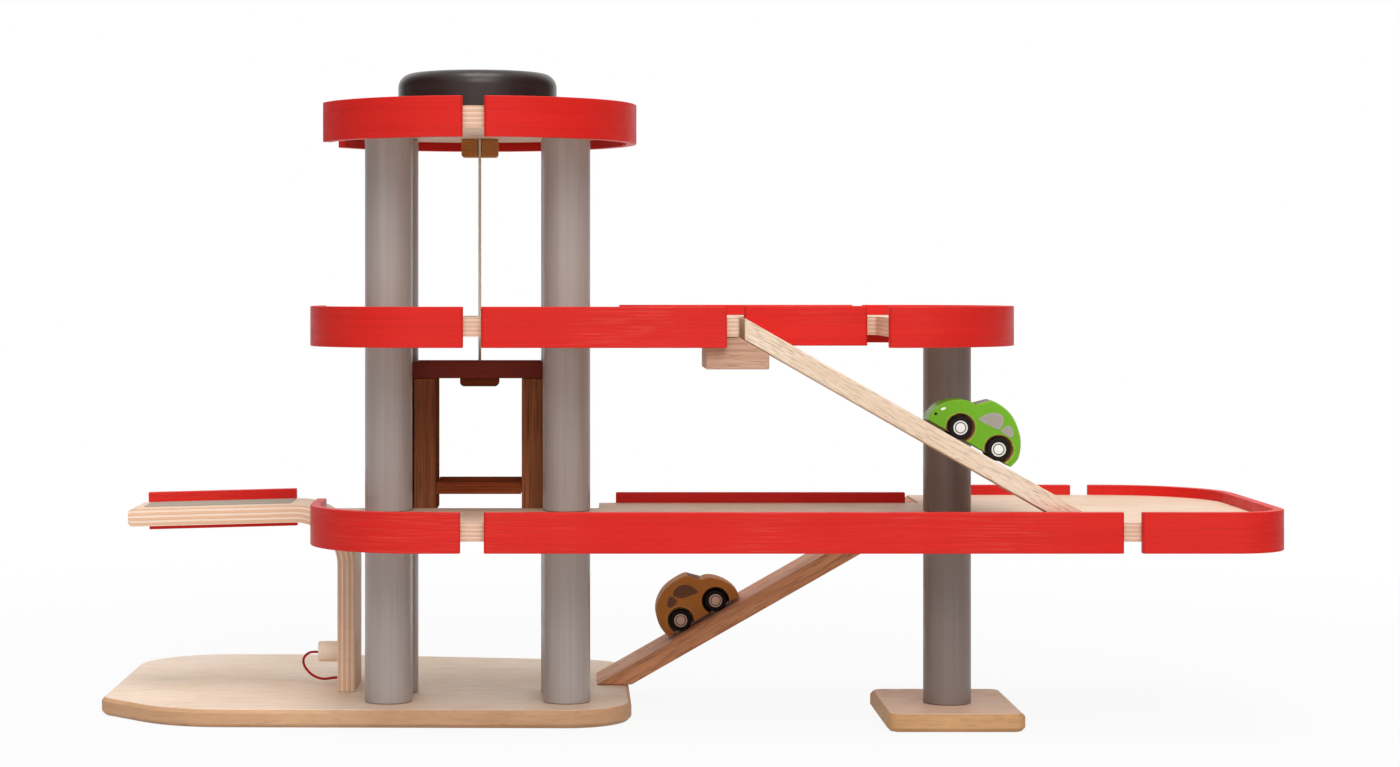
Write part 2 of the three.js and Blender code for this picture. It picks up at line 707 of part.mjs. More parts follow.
// The string: a fixed stretch from the spool, and the stretch that lengthens as the lift goes down
const guideBottom = guideTop - guideHeight;
const feedHeight = topDeckTop + stringFeedLift;
const feedStart = topDeckY + spoolRadius + glueGap;
const stringSection = new THREE.Shape();
stringSection.absarc(0, 0, stringRadius, 0, 2 * Math.PI, false);
const feedBend = 3 * stringRadius;
const feedPath = new THREE.CurvePath();
feedPath.add(new THREE.LineCurve3(
  new THREE.Vector3(0, feedStart, feedHeight), new THREE.Vector3(0, stringY - feedBend, feedHeight)));
feedPath.add(new THREE.QuadraticBezierCurve3(
  new THREE.Vector3(0, stringY - feedBend, feedHeight),
  new THREE.Vector3(0, stringY, feedHeight),
  new THREE.Vector3(0, stringY, feedHeight - feedBend)));
feedPath.add(new THREE.LineCurve3(
  new THREE.Vector3(0, stringY, feedHeight - feedBend), new THREE.Vector3(0, stringY, guideBottom)));
const feed = new THREE.ExtrudeGeometry(stringSection, { extrudePath: feedPath, steps: 12, curveSegments: 4 });
add(garage, 'string_feed', feed, 'cord');
const stringTop = guideBottom - glueGap;
const stringBottom = liftRoofTop + glueGap;
const string = new THREE.CylinderGeometry(stringRadius, stringRadius, stringTop - stringBottom, 8);
string.rotateX(Math.PI / 2).translate(0, stringY, (stringTop + stringBottom) / 2);
add(lift, 'lift_string', string, 'cord');

// Winding knob, with its spool turned in one piece, and the axle that it turns on
const knobBottom = topDeckTop + knobLift;
const knobTop = knobBottom + knobHeight;
const axleBore = axleRadius + glueGap;
const knobCeiling = knobTop - knobRoof;
const shoulderSteps = 4;
const shoulder = Array.from({ length: shoulderSteps + 1 }, (unused, step) => {
  const angle = (Math.PI / 2) * (step / shoulderSteps);
  return [
    knobRadius - knobRounding + knobRounding * Math.cos(angle),
    knobTop - knobRounding + knobRounding * Math.sin(angle),
  ];
});
const axleTop = knobCeiling + knobRoof / 2;
const spoolBottom = topDeckTop + spoolLift;
const knobProfile = [
  [0, axleTop + glueGap],
  [axleBore, axleTop + glueGap],
  [axleBore, spoolBottom],
  [spoolFlange, spoolBottom],
  [spoolFlange, spoolBottom + spoolFlangeThickness],
  [spoolRadius, spoolBottom + spoolFlangeThickness],
  [spoolRadius, knobCeiling],
  [knobRadius - knobWall, knobCeiling],
  [knobRadius - knobWall, knobBottom],
  [knobRadius, knobBottom],
  ...shoulder,
  [0, knobTop],
];
add(garage, 'winding_knob', turned(knobProfile, 40).translate(0, topDeckY, 0), 'black');
const axleHeight = axleTop - topDeckHeight;
const axle = new THREE.CylinderGeometry(axleRadius, axleRadius, axleHeight, 24);
axle.rotateX(Math.PI / 2).translate(0, topDeckY, topDeckHeight + axleHeight / 2);
add(garage, 'winding_axle', axle, 'steel');

// A car in its own frame: x from the front axle towards the tail, z up from the road
function carBody() {
  const place = ([along, up]) => new THREE.Vector2(
    along * carLength - carNoseOverhang, carUnderside + up * carHeight);
  const smooth = (shares) => new THREE.SplineCurve(shares.map(place)).getPoints(2 * shares.length);
  const outline = [
    ...carNoseShares.map(place),
    ...smooth(carHoodShares),
    ...carScreenShares.map(place),
    ...smooth(carRoofShares),
  ];
  const geometry = new THREE.ExtrudeGeometry(new THREE.Shape(outline.reverse()), {
    depth: carWidth - 2 * carEdgeRounding,
    bevelThickness: carEdgeRounding,
    bevelSize: carEdgeRounding,
    bevelOffset: -carEdgeRounding,
    bevelSegments: 1,
  });
  geometry.rotateX(Math.PI / 2).translate(0, carWidth / 2 - carEdgeRounding, 0);
  const tools = [];
  [0, carWheelBase].forEach((x) => {
    const bore = new THREE.CylinderGeometry(carBoreRadius, carBoreRadius, carWidth, 12);
    tools.push(bore.translate(x, 0, carWheelRadius));
    [-1, 1].forEach((direction) => {
      const depth = carArchDepth + cutOverrun;
      const arch = new THREE.CylinderGeometry(carArchRadius, carArchRadius, depth, 28);
      tools.push(arch.translate(x, direction * (carWidth / 2 - carArchDepth + depth / 2), carWheelRadius));
    });
  });
  return cut(geometry, tools);
}

// A wheel with the peg that it turns on, its outer face towards +y
function carWheel() {
  const face = carWidth / 2;
  const inner = face - carWheelWidth;
  const profile = [
    [0, glueGap / 2],
    [carPegRadius, glueGap / 2],
    [carPegRadius, inner],
    [carWheelRadius - carHubDish, inner],
    [carWheelRadius, inner + carHubDish],
    [carWheelRadius, face - carHubDish],
    [carWheelRadius - carHubDish, face],
    [carHubRadius, face],
    [carHubRadius - carHubDish, face - carHubDish],
    [0, face - carHubDish],
  ];
  return new THREE.LatheGeometry(profile.map(([r, y]) => new THREE.Vector2(r, y)), 18);
}

// Puts a car on a ramp, its nose uphill
function addCar(name, paint, topX, top, y, place, direction) {
  const car = new THREE.Group();
  const surface = glueGap;
  car.position.set(
    topX + direction * (place * Math.cos(rampSlope) + surface * Math.sin(rampSlope)),
    y,
    top - place * Math.sin(rampSlope) + surface * Math.cos(rampSlope),
  );
  car.rotation.set(0, direction * rampSlope, direction > 0 ? 0 : Math.PI, 'YZX');
  garage.add(car);
  add(car, `${name}_body`, carBody(), paint);
  [['front', 0], ['rear', carWheelBase]].forEach(([end, x]) => {
    [['left', 1], ['right', -1]].forEach(([side, facing]) => {
      const wheel = add(car, `${name}_wheel_${end}_${side}`, carWheel(), 'tyre');
      wheel.position.set(x, 0, carWheelRadius);
      wheel.rotation.x = facing > 0 ? 0 : Math.PI;
    });
  });
}
const upperCarY = upperRampY + rampWidth / 2;
const lowerCarY = lowerRampY + rampWidth / 2;
const upperRampLength = (middleDeckTop - lowerDeckTop - 2 * glueGap) / Math.sin(rampSlope);
const lowerRampLength = (lowerDeckTop - boardThickness - 2 * glueGap) / Math.sin(rampSlope);
const upperCarPlace = upperCarPlaceShare * upperRampLength;
const lowerCarPlace = lowerCarPlaceShare * lowerRampLength;
addCar('upper_car', 'green', upperRampTopX, middleDeckTop - glueGap, upperCarY, upperCarPlace, 1);
addCar('lower_car', 'amber', lowerRampTopX, lowerDeckTop - glueGap, lowerCarY, lowerCarPlace, -1);

export default garage;
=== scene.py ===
import json
import math

import bmesh
import bpy
from mathutils import Matrix, Vector

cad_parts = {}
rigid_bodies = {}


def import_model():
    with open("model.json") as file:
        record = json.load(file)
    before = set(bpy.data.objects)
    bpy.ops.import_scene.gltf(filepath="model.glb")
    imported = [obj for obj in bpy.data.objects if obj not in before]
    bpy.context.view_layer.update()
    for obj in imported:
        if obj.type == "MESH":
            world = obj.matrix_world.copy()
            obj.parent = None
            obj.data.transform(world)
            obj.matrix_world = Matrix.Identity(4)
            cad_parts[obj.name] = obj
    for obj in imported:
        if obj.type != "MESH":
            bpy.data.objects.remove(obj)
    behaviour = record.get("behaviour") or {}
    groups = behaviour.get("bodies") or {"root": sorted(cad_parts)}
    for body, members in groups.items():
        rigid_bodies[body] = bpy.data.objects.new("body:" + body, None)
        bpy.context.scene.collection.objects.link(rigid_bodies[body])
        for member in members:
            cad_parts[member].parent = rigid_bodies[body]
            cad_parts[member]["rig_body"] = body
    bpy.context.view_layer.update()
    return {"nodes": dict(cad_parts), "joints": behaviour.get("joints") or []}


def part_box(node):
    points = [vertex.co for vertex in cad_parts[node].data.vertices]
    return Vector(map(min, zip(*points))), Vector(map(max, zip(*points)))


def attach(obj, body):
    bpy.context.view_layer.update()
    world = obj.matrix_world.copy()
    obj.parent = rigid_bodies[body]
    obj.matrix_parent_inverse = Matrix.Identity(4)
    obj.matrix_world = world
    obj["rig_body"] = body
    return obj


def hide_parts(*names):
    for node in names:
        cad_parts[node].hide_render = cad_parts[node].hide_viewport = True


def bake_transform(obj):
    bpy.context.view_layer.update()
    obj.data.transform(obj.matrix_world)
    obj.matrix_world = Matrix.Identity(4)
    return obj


bl_info = {
    "name": "Toy parking garage",
    "version": (1, 0, 0),
    "blender": (4, 5, 0),
    "location": "View3D > Sidebar > Garage",
    "description": "Finished look of a wooden toy parking garage with lift, ramps and cars",
    "category": "Object",
}

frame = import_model()

MM = 0.001
QUARTER = math.pi / 2
JOINTS = {joint["name"]: joint for joint in frame["joints"]}


def paint(red, green, blue):
    """A colour of 0 to 255 as it is seen, as the linear values that Blender keeps."""
    seen = (red / 255, green / 255, blue / 255)
    return tuple(v / 12.92 if v <= 0.04045 else ((v + 0.055) / 1.055) ** 2.4 for v in seen)


def colour(label, note, *seen):
    """A colour that the user may change."""
    return bpy.props.FloatVectorProperty(
        name=label, description=note, subtype="COLOR", size=3, min=0, max=1, default=paint(*seen))


def length(label, note, millimetres, least=0.0):
    """A length that the user may change."""
    return bpy.props.FloatProperty(
        name=label, description=note, unit="LENGTH", subtype="DISTANCE", min=least,
        precision=5, default=millimetres * MM)


def number(label, note, default, **limits):
    """A number that the user may change."""
    return bpy.props.FloatProperty(name=label, description=note, default=default, **limits)


class GarageFinish(bpy.types.PropertyGroup):
    """Colours of the wood, the paint and the cord. Those of the lower ramp, the lift, the column at
    the ramp and the amber car have painted shade in them.
    """

    rail_red: colour("Rail red", "Paint of the rails", 222, 38, 32)
    # Paler red for the rails' edges and marks: scuffs on the ends and a painted highlight on the
    # top edges.
    rail_worn: colour("Worn red", "Rail paint where hands have thinned it", 232, 96, 84)
    column_grey: colour("Column grey", "Paint of the columns", 178, 168, 164)
    # The column at the ramp gets a darker grey than the others: the shade it stands in is painted
    # into it.
    end_column_grey: colour("End column grey", "Paint of the column at the ramp", 138, 124, 118)
    birch_light: colour("Birch", "Face veneer of the decks", 241, 215, 192)
    birch_dark: colour("Birch grain", "Grain lines and dark plies of the decks", 218, 178, 146)
    beech_light: colour("Beech", "Boards of the base", 249, 230, 210)
    beech_dark: colour("Beech grain", "Grain of the base", 230, 198, 166)
    edge_tan: colour("Board edge", "Rubbed edge of the foot board", 234, 194, 158)
    # The lower ramp's pale beech as it looks in the shade under the decks: that shade is painted
    # into these two colours.
    ramp_brown: colour("Lower ramp", "Stained wood of the lower ramp", 244, 176, 130)
    ramp_brown_dark: colour("Lower ramp grain", "Grain of the lower ramp", 182, 120, 84)
    # The lift's walls as they look in the shade inside the tower: their brown is darkened by
    # painted shade.
    lift_brown: colour("Lift walls", "Stained wood of the lift's walls", 172, 112, 76)
    lift_brown_dark: colour("Lift grain", "Grain of the lift's walls", 112, 58, 40)
    # Partly the roof's maroon paint and partly painted shade from inside the tower.
    roof_maroon: colour("Lift roof", "Paint of the lift's roof", 128, 58, 50)
    guide_tan: colour("String guide", "Stained wood of the string's guide", 208, 142, 72)
    knob_black: colour("Knob black", "Paint of the winding knob", 42, 28, 27)
    panel_grey: colour("Canopy panel", "Road panel on the canopy", 168, 158, 142)
    string: colour("Lift string", "Twisted string of the lift", 255, 240, 214)
    hose: colour("Pump hose", "Cord of the pump", 178, 26, 30)
    steel: colour("Axle steel", "Axle of the knob", 170, 168, 164)
    car_green: colour("Green car", "Gloss paint of the upper car", 116, 176, 46)
    # A yellow car as it looks in the brown shade under the decks: that shade is painted into this
    # colour.
    car_amber: colour("Amber car", "Gloss paint of the lower car", 196, 130, 66)
    car_wood: colour("Bare car wood", "Wood where the wheel arches are cut", 206, 164, 104)
    pane_grey: colour("Grey panes", "Windows of the green car", 166, 158, 148)
    # The amber car's panes as they look in the shade under the decks: that shade is painted in.
    pane_brown: colour("Brown panes", "Windows of the amber car", 124, 86, 68)
    tyre: colour("Tyre", "Black of the wheels", 34, 29, 29)
    hub_white: colour("White hub", "Hubs of the green car", 246, 244, 240)
    # White hubs as they look in the shade under the decks: that shade is painted into this tan.
    hub_tan: colour("Tan hub", "Hubs of the amber car", 232, 200, 178)
    hub_ring: colour("Hub ring", "Grey ring in the hubs", 120, 116, 116)


class GarageSizes(bpy.types.PropertyGroup):
    """Roundings and small sizes of the pieces."""

    rail_rounding: length("Rail rounding", "Radius of the rails' edges", 0.6)
    deck_rounding: length("Deck rounding", "Radius of the decks' edges", 0.5)
    board_rounding: length("Board rounding", "Radius of the base boards' edges", 0.5)
    ramp_rounding: length("Ramp rounding", "Radius of the ramps' and brackets' edges", 0.8)
    lift_rounding: length("Lift rounding", "Radius of the lift boards' edges", 0.6)
    column_rounding: length("Column rounding", "Radius of the columns' ends", 0.6)
    column_radius: length("Column radius", "Radius of the columns", 15.8)
    tenon_radius: length("Tenon radius", "Radius of the tenons on the columns", 6)
    knob_rounding: length("Knob rounding", "Radius of the knob's shoulder", 9.5)
    knob_height: length("Knob height", "Height of the knob above the top deck", 26.8)
    hose_diameter: length("Hose diameter", "Diameter of the pump's cord", 1.8)
    string_diameter: length("String diameter", "Diameter of the lift's string", 2.1)
    string_lay: length("String lay", "Length of one twist of the string", 7)
    panel_inset: length("Panel inset", "Bare edge beside the canopy's panel", 5.6)
    panel_near_inset: length("Panel front inset", "Bare board in front of the canopy's panel", 17)
    panel_thickness: length("Panel thickness", "Thickness of the canopy's panel", 0.5)
    pane_thickness: length("Pane thickness", "How far the cars' panes stand proud", 0.15)
    car_rounding: length("Car rounding", "Radius of the cars' edges", 2.6)


class GarageStage(bpy.types.PropertyGroup):
    """Camera and light."""

    camera_x: length("Camera across", "Camera's place along the garage", -70.65, least=-10)
    camera_distance: length("Camera distance", "Camera's distance in front of the middle", 1992.6)
    camera_height: length("Camera height", "Camera's height above the floor", 289.3)
    camera_lens: number("Lens", "Focal length of the camera", 74.2, unit="CAMERA")
    floor_reach: length("Floor reach", "Half length of the floor", 9000)
    sky: number("Sky", "Strength of the light all round", 0.74, min=0)
    sky_aside: number(
        "Sky to the sides", "Share of that light that comes from the sides", 0.08, min=0, max=1)
    key: number("Key light", "Power of the large front lamp", 29, unit="POWER")
    top: number("Top light", "Power of the lamp above", 22, unit="POWER")
    side: number("Side light", "Power of the narrow lamp on the right", 0.6, unit="POWER")


def sizes():
    """The lengths that the user may change."""
    return bpy.context.scene.garage_sizes


# Node building

GRAPH_COLUMNS = 8
GRAPH_STEP = (200, -300)
MIX_COLOURS = (6, 7)  # where a Mix node takes its two colours
MIX_RESULT = 2  # and where it gives their mix


def feed(socket, value):
    """Links an input to another node's output, or gives it a plain value."""
    if isinstance(value, bpy.types.NodeSocket):
        socket.id_data.links.new(value, socket)
    else:
        socket.default_value = value


def fill(made, **values):
    """Feeds a node's inputs by name, with underscores for spaces."""
    for key, value in values.items():
        feed(made.inputs[key.replace("_", " ")], value)
    return made


class Graph:
    """Adds nodes to a tree, in rows, in the order in which they are made."""

    def __init__(self, tree):
        self.tree = tree

    def add(self, kind, **settings):
        """A node with its settings."""
        row, column = divmod(len(self.tree.nodes), GRAPH_COLUMNS)
        made = self.tree.nodes.new(kind)
        made.location = (column * GRAPH_STEP[0], row * GRAPH_STEP[1])
        for key, value in settings.items():
            setattr(made, key, value)
        return made

    def calculate(self, operation, *values, clamp=False):
        """A Math node of values, each a socket or a number."""
        made = self.add("ShaderNodeMath", operation=operation, use_clamp=clamp)
        for socket, value in zip(made.inputs, values):
            feed(socket, value)
        return made.outputs[0]

    def times(self, first, second, clamp=False):
        """The product of two values."""
        return self.calculate("MULTIPLY", first, second, clamp=clamp)

    def spread(self, value, low, high, to_low=0, to_high=1):
        """A smooth step of a value from low to high."""
        made = self.add("ShaderNodeMapRange", interpolation_type="SMOOTHSTEP")
        fill(made, Value=value, From_Min=low, From_Max=high, To_Min=to_low, To_Max=to_high)
        return made.outputs["Result"]

    def blend(self, factor, first, second):
        """A mix of two colours, each a socket or a plain colour."""
        made = fill(self.add("ShaderNodeMix", data_type="RGBA"), Factor=factor)
        for index, value in zip(MIX_COLOURS, (first, second)):
            linked = isinstance(value, bpy.types.NodeSocket)
            feed(made.inputs[index], value if linked else (*value, 1))
        return made.outputs[MIX_RESULT]

    def stretched(self, vector, factors):
        """A vector times a plain factor each way."""
        made = self.add("ShaderNodeVectorMath", operation="MULTIPLY")
        feed(made.inputs[0], vector)
        feed(made.inputs[1], factors)
        return made.outputs[0]

    def noise(self, vector, **values):
        """Noise from 0 to 1 over a vector."""
        return fill(self.add("ShaderNodeTexNoise"), Vector=vector, **values).outputs["Fac"]

    def effect(self, name, vector, **values):
        """Places one of the shared effects and gives its outputs."""
        shared = bpy.data.node_groups.get(name) or make_effect(name)
        return fill(self.add("ShaderNodeGroup", node_tree=shared), Vector=vector, **values).outputs


def wood_grain(graph, vector, fleck_amount):
    """Fine grain lines, broad bands and short flecks, along the vector's X."""
    lines = graph.noise(vector, Scale=1, Detail=4, Roughness=0.62, Distortion=0.15)
    bands = graph.noise(vector, Scale=0.17, Detail=2, Roughness=0.5, Distortion=0.6)
    dashes = graph.noise(graph.stretched(vector, (2.2, 1.9, 1.9)), Scale=1, Detail=1, Roughness=0.4)
    fine = graph.times(graph.spread(lines, 0.34, 0.68), 0.62)
    broad = graph.times(graph.spread(bands, 0.32, 0.68), 0.38)
    grain = graph.calculate("ADD", fine, broad, clamp=True)
    fleck = graph.times(graph.spread(dashes, 0.56, 0.67), fleck_amount, clamp=True)
    return grain, fleck, graph.calculate("SUBTRACT", grain, fleck)


def scuff_and_highlight_mask(graph, vector, width, breakup):
    """Where a piece's edges turn, broken up by fine noise: the mask for scuffs and for painted
    highlights along them.
    """
    rounded = fill(graph.add("ShaderNodeBevel", samples=6), Radius=width)
    surface = graph.add("ShaderNodeNewGeometry")
    facing = graph.add("ShaderNodeVectorMath", operation="DOT_PRODUCT")
    feed(facing.inputs[0], rounded.outputs["Normal"])
    feed(facing.inputs[1], surface.outputs["Normal"])
    turn = graph.spread(facing.outputs["Value"], 0.995, 0.82)
    patch = graph.spread(graph.noise(vector, Scale=240, Detail=3, Roughness=0.6), 0.3, 0.66)
    solid = graph.calculate("SUBTRACT", 1, breakup)
    share = graph.calculate("ADD", solid, graph.times(patch, breakup), clamp=True)
    return [graph.times(turn, share, clamp=True)]


def ply_layers(graph, vector, through, layers):
    """The layers of plywood through a board, from a height of 0 to 1."""
    shift = graph.times(graph.noise(vector, Scale=30, Detail=2, Roughness=0.5), 0.22)
    placed = graph.calculate("ADD", graph.times(through, layers), shift)
    swing = graph.calculate("PINGPONG", placed, 1)
    away = graph.calculate("ABSOLUTE", graph.calculate("SUBTRACT", swing, 0.5))
    return graph.spread(swing, 0.4, 0.6), graph.spread(away, 0.09, 0.02)


def handling(graph, vector, size):
    """Slow changes of tone over a piece, and faint smudges in its sheen."""
    slow = graph.noise(vector, Scale=size, Detail=2, Roughness=0.5)
    finer = graph.times(size, 6)
    quick = graph.noise(vector, Scale=finer, Detail=3, Roughness=0.65, Distortion=0.2)
    return graph.spread(slow, 0.3, 0.7), graph.spread(quick, 0.35, 0.7)


# Each shared effect's maker, its inputs after the vector with their defaults, and its outputs
EFFECTS = {
    "Wood grain": (wood_grain, {"Fleck Amount": 0.5}, ("Grain", "Fleck", "Height")),
    "Rubbed edge": (scuff_and_highlight_mask, {"Width": 0.001, "Breakup": 0.5}, ("Mask",)),
    "Ply layers": (ply_layers, {"Through": 0, "Layers": 7}, ("Dark Ply", "Glue Line")),
    "Handling": (handling, {"Size": 9}, ("Tone", "Smudge")),
}


def make_effect(name):
    """Builds a shared effect's node group."""
    maker, values, results = EFFECTS[name]
    group = bpy.data.node_groups.new(name, "ShaderNodeTree")
    group.interface.new_socket(name="Vector", in_out="INPUT", socket_type="NodeSocketVector")
    for label, default in values.items():
        made = group.interface.new_socket(name=label, in_out="INPUT", socket_type="NodeSocketFloat")
        made.default_value = default
    for label in results:
        group.interface.new_socket(name=label, in_out="OUTPUT", socket_type="NodeSocketFloat")
    graph = Graph(group)
    start = graph.add("NodeGroupInput")
    given = maker(graph, *start.outputs[:1 + len(values)])
    end = graph.add("NodeGroupOutput")
    for socket, value in zip(end.inputs, given):
        feed(socket, value)
    return group


class Finish(Graph):
    """A material with its constants on the shader, and the piece's own coordinates."""

    def __init__(self, name, roughness, coat=0, coat_roughness=0.2, sheen=0.3):
        self.material = bpy.data.materials.new(name)
        self.material.use_nodes = True
        super().__init__(self.material.node_tree)
        self.roughness = roughness
        self.shader = fill(
            self.tree.nodes["Principled BSDF"], Roughness=roughness, Coat_Weight=coat,
            Coat_Roughness=coat_roughness, Specular_IOR_Level=sheen)
        self.ways = self.add("ShaderNodeTexCoord").outputs  # ways to measure the piece
        self.place = self.ways["Object"]

    def grain(self, lines, flecks, lean=0):
        """Wood grain along X, leaning round Y. The lines are per metre each way."""
        turned = self.add("ShaderNodeMapping", vector_type="TEXTURE")
        fill(turned, Vector=self.place, Rotation=(0, lean, 0))
        along = self.stretched(turned.outputs["Vector"], lines)
        return self.effect("Wood grain", along, Fleck_Amount=flecks)

    def handled(self, size, less, more):
        """Marks of handling, which make the surface less or more rough."""
        marks = self.effect("Handling", self.place, Size=size)
        uneven = self.spread(marks["Smudge"], 0, 1, self.roughness - less, self.roughness + more)
        fill(self.shader, Roughness=uneven)
        return marks

    def rubbed(self, width, breakup, edge_strength):
        """How far the paler edge colour shows along the edges: scuffed paint or tone, and a painted
        highlight.
        """
        edges = self.effect("Rubbed edge", self.place, Width=width, Breakup=breakup)
        return self.times(edges["Mask"], edge_strength)

    def show(self, seen, height, strength, depth):
        """Gives the shader the finished colour and the relief."""
        bump = fill(self.add("ShaderNodeBump"), Strength=strength, Distance=depth, Height=height)
        fill(self.shader, Base_Color=seen, Normal=bump.outputs["Normal"])


def deeper(shade, share):
    """A darker tone of a colour."""
    return tuple(share * value for value in shade)


def wood(name, light, dark, edge=None, *, lines, lean=0, flecks=0.5, contrast=0.75, sheen=0.25):
    """Bare or stained wood, for some pieces with painted shade in its colours: grain, flecks, slow
    tone changes and an edge colour, partly scuffs and partly a painted highlight.
    """
    made = Finish(name, 0.55, sheen=sheen)
    grain = made.grain(lines, flecks, lean)
    marks = made.handled(11, 0.06, 0.08)
    body = made.blend(made.times(grain["Grain"], contrast), light, dark)
    flecked = made.blend(grain["Fleck"], body, deeper(dark, 0.62))
    toned = made.blend(made.spread(marks["Tone"], 0, 1, 0, 0.3), flecked, dark)
    if edge:
        toned = made.blend(made.rubbed(0.0012, 0.45, 0.6), toned, edge)
    made.show(toned, grain["Height"], 0.3, 0.00025)


def plywood_edge(name, light, dark, *, layers=9, board=None):
    """Sawn edge of plywood, its layers lying flat through a board or across a map's V."""
    made = Finish(name, 0.6)
    parts = made.add("ShaderNodeSeparateXYZ")
    feed(parts.inputs[0], made.place if board else made.ways["UV"])
    low, high = (corner.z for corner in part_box(board)) if board else (0, 1)
    through = fill(
        made.add("ShaderNodeMapRange", clamp=False), Value=parts.outputs["Z" if board else "Y"],
        From_Min=low, From_Max=high)
    ply = made.effect("Ply layers", made.place, Layers=layers, Through=through.outputs["Result"])
    grain = made.grain((40, 40, 1100), 0.25)
    body = made.blend(made.times(grain["Grain"], 0.4), light, dark)
    layered = made.blend(made.times(ply["Dark Ply"], 0.8), body, dark)
    lined = made.blend(made.times(ply["Glue Line"], 0.6), layered, deeper(dark, 0.55))
    made.show(lined, made.calculate("ADD", grain["Height"], ply["Dark Ply"]), 0.3, 0.00025)


def painted_wood(name, base, scuffed_and_lit, *, lines, roughness, streak, edge_strength, fade=0.05, sheen=0.15,
                 scratches=0, relief=0.2):
    """Paint over wood: the grain telegraphs through, and the edges turn pale, partly scuffed and
    partly with a painted highlight.
    """
    made = Finish(name, roughness, sheen=sheen)
    grain = made.grain(lines, 0.6)
    marks = made.handled(8, 0.03, 0.05)
    body = made.blend(made.times(grain["Grain"], streak), base, deeper(base, 0.66))
    toned = made.blend(made.spread(marks["Tone"], 0, 1, 0, fade), body, scuffed_and_lit)
    patch = made.spread(marks["Tone"], 0.6, 1, 0, scratches)
    scratched = made.times(grain["Fleck"], patch)
    mask = made.calculate("MAXIMUM", scratched, made.rubbed(0.0012, 0.5, edge_strength))
    made.show(made.blend(mask, toned, scuffed_and_lit), grain["Height"], relief, 0.0002)


def gloss_paint(name, base, scuffed_and_lit, *, roughness, coat=0):
    """Thick gloss paint with a faint orange peel, and a painted highlight: a paler colour along the
    edges.
    """
    made = Finish(name, roughness, coat, coat_roughness=0.1, sheen=0.05)
    marks = made.handled(40, 0.04, 0.08)
    body = made.blend(made.spread(marks["Tone"], 0, 1, 0, 0.2), base, deeper(base, 0.7))
    # Painted highlight: the paler second colour along the rounded edges.
    finished = made.blend(made.rubbed(0.0022, 0.3, 0.6), body, scuffed_and_lit)
    made.show(finished, marks["Smudge"], 0.06, 0.0002)


def twisted_fibre(name, base, *, roughness=0.85):
    """Fibres of a string or cord."""
    made = Finish(name, roughness)
    grain = made.grain((1500, 1500, 500), 0.3)
    body = made.blend(made.times(grain["Grain"], 0.3), base, deeper(base, 0.72))
    made.show(body, grain["Height"], 0.5, 0.0003)


def turned_steel(name, base):
    """Drawn steel with fine rings."""
    made = Finish(name, 0.32)
    rings = made.grain((90, 90, 2600), 0.1)["Grain"]
    body = made.blend(rings, base, deeper(base, 0.75))
    fill(made.shader, Metallic=1, Base_Color=body, Roughness=made.spread(rings, 0, 1, 0.25, 0.42))


RAMP_SLOPE = math.radians(29.7)
DECK_WOOD = ("birch_light", "birch_dark")
BASE_WOOD = ("beech_light", "beech_dark")

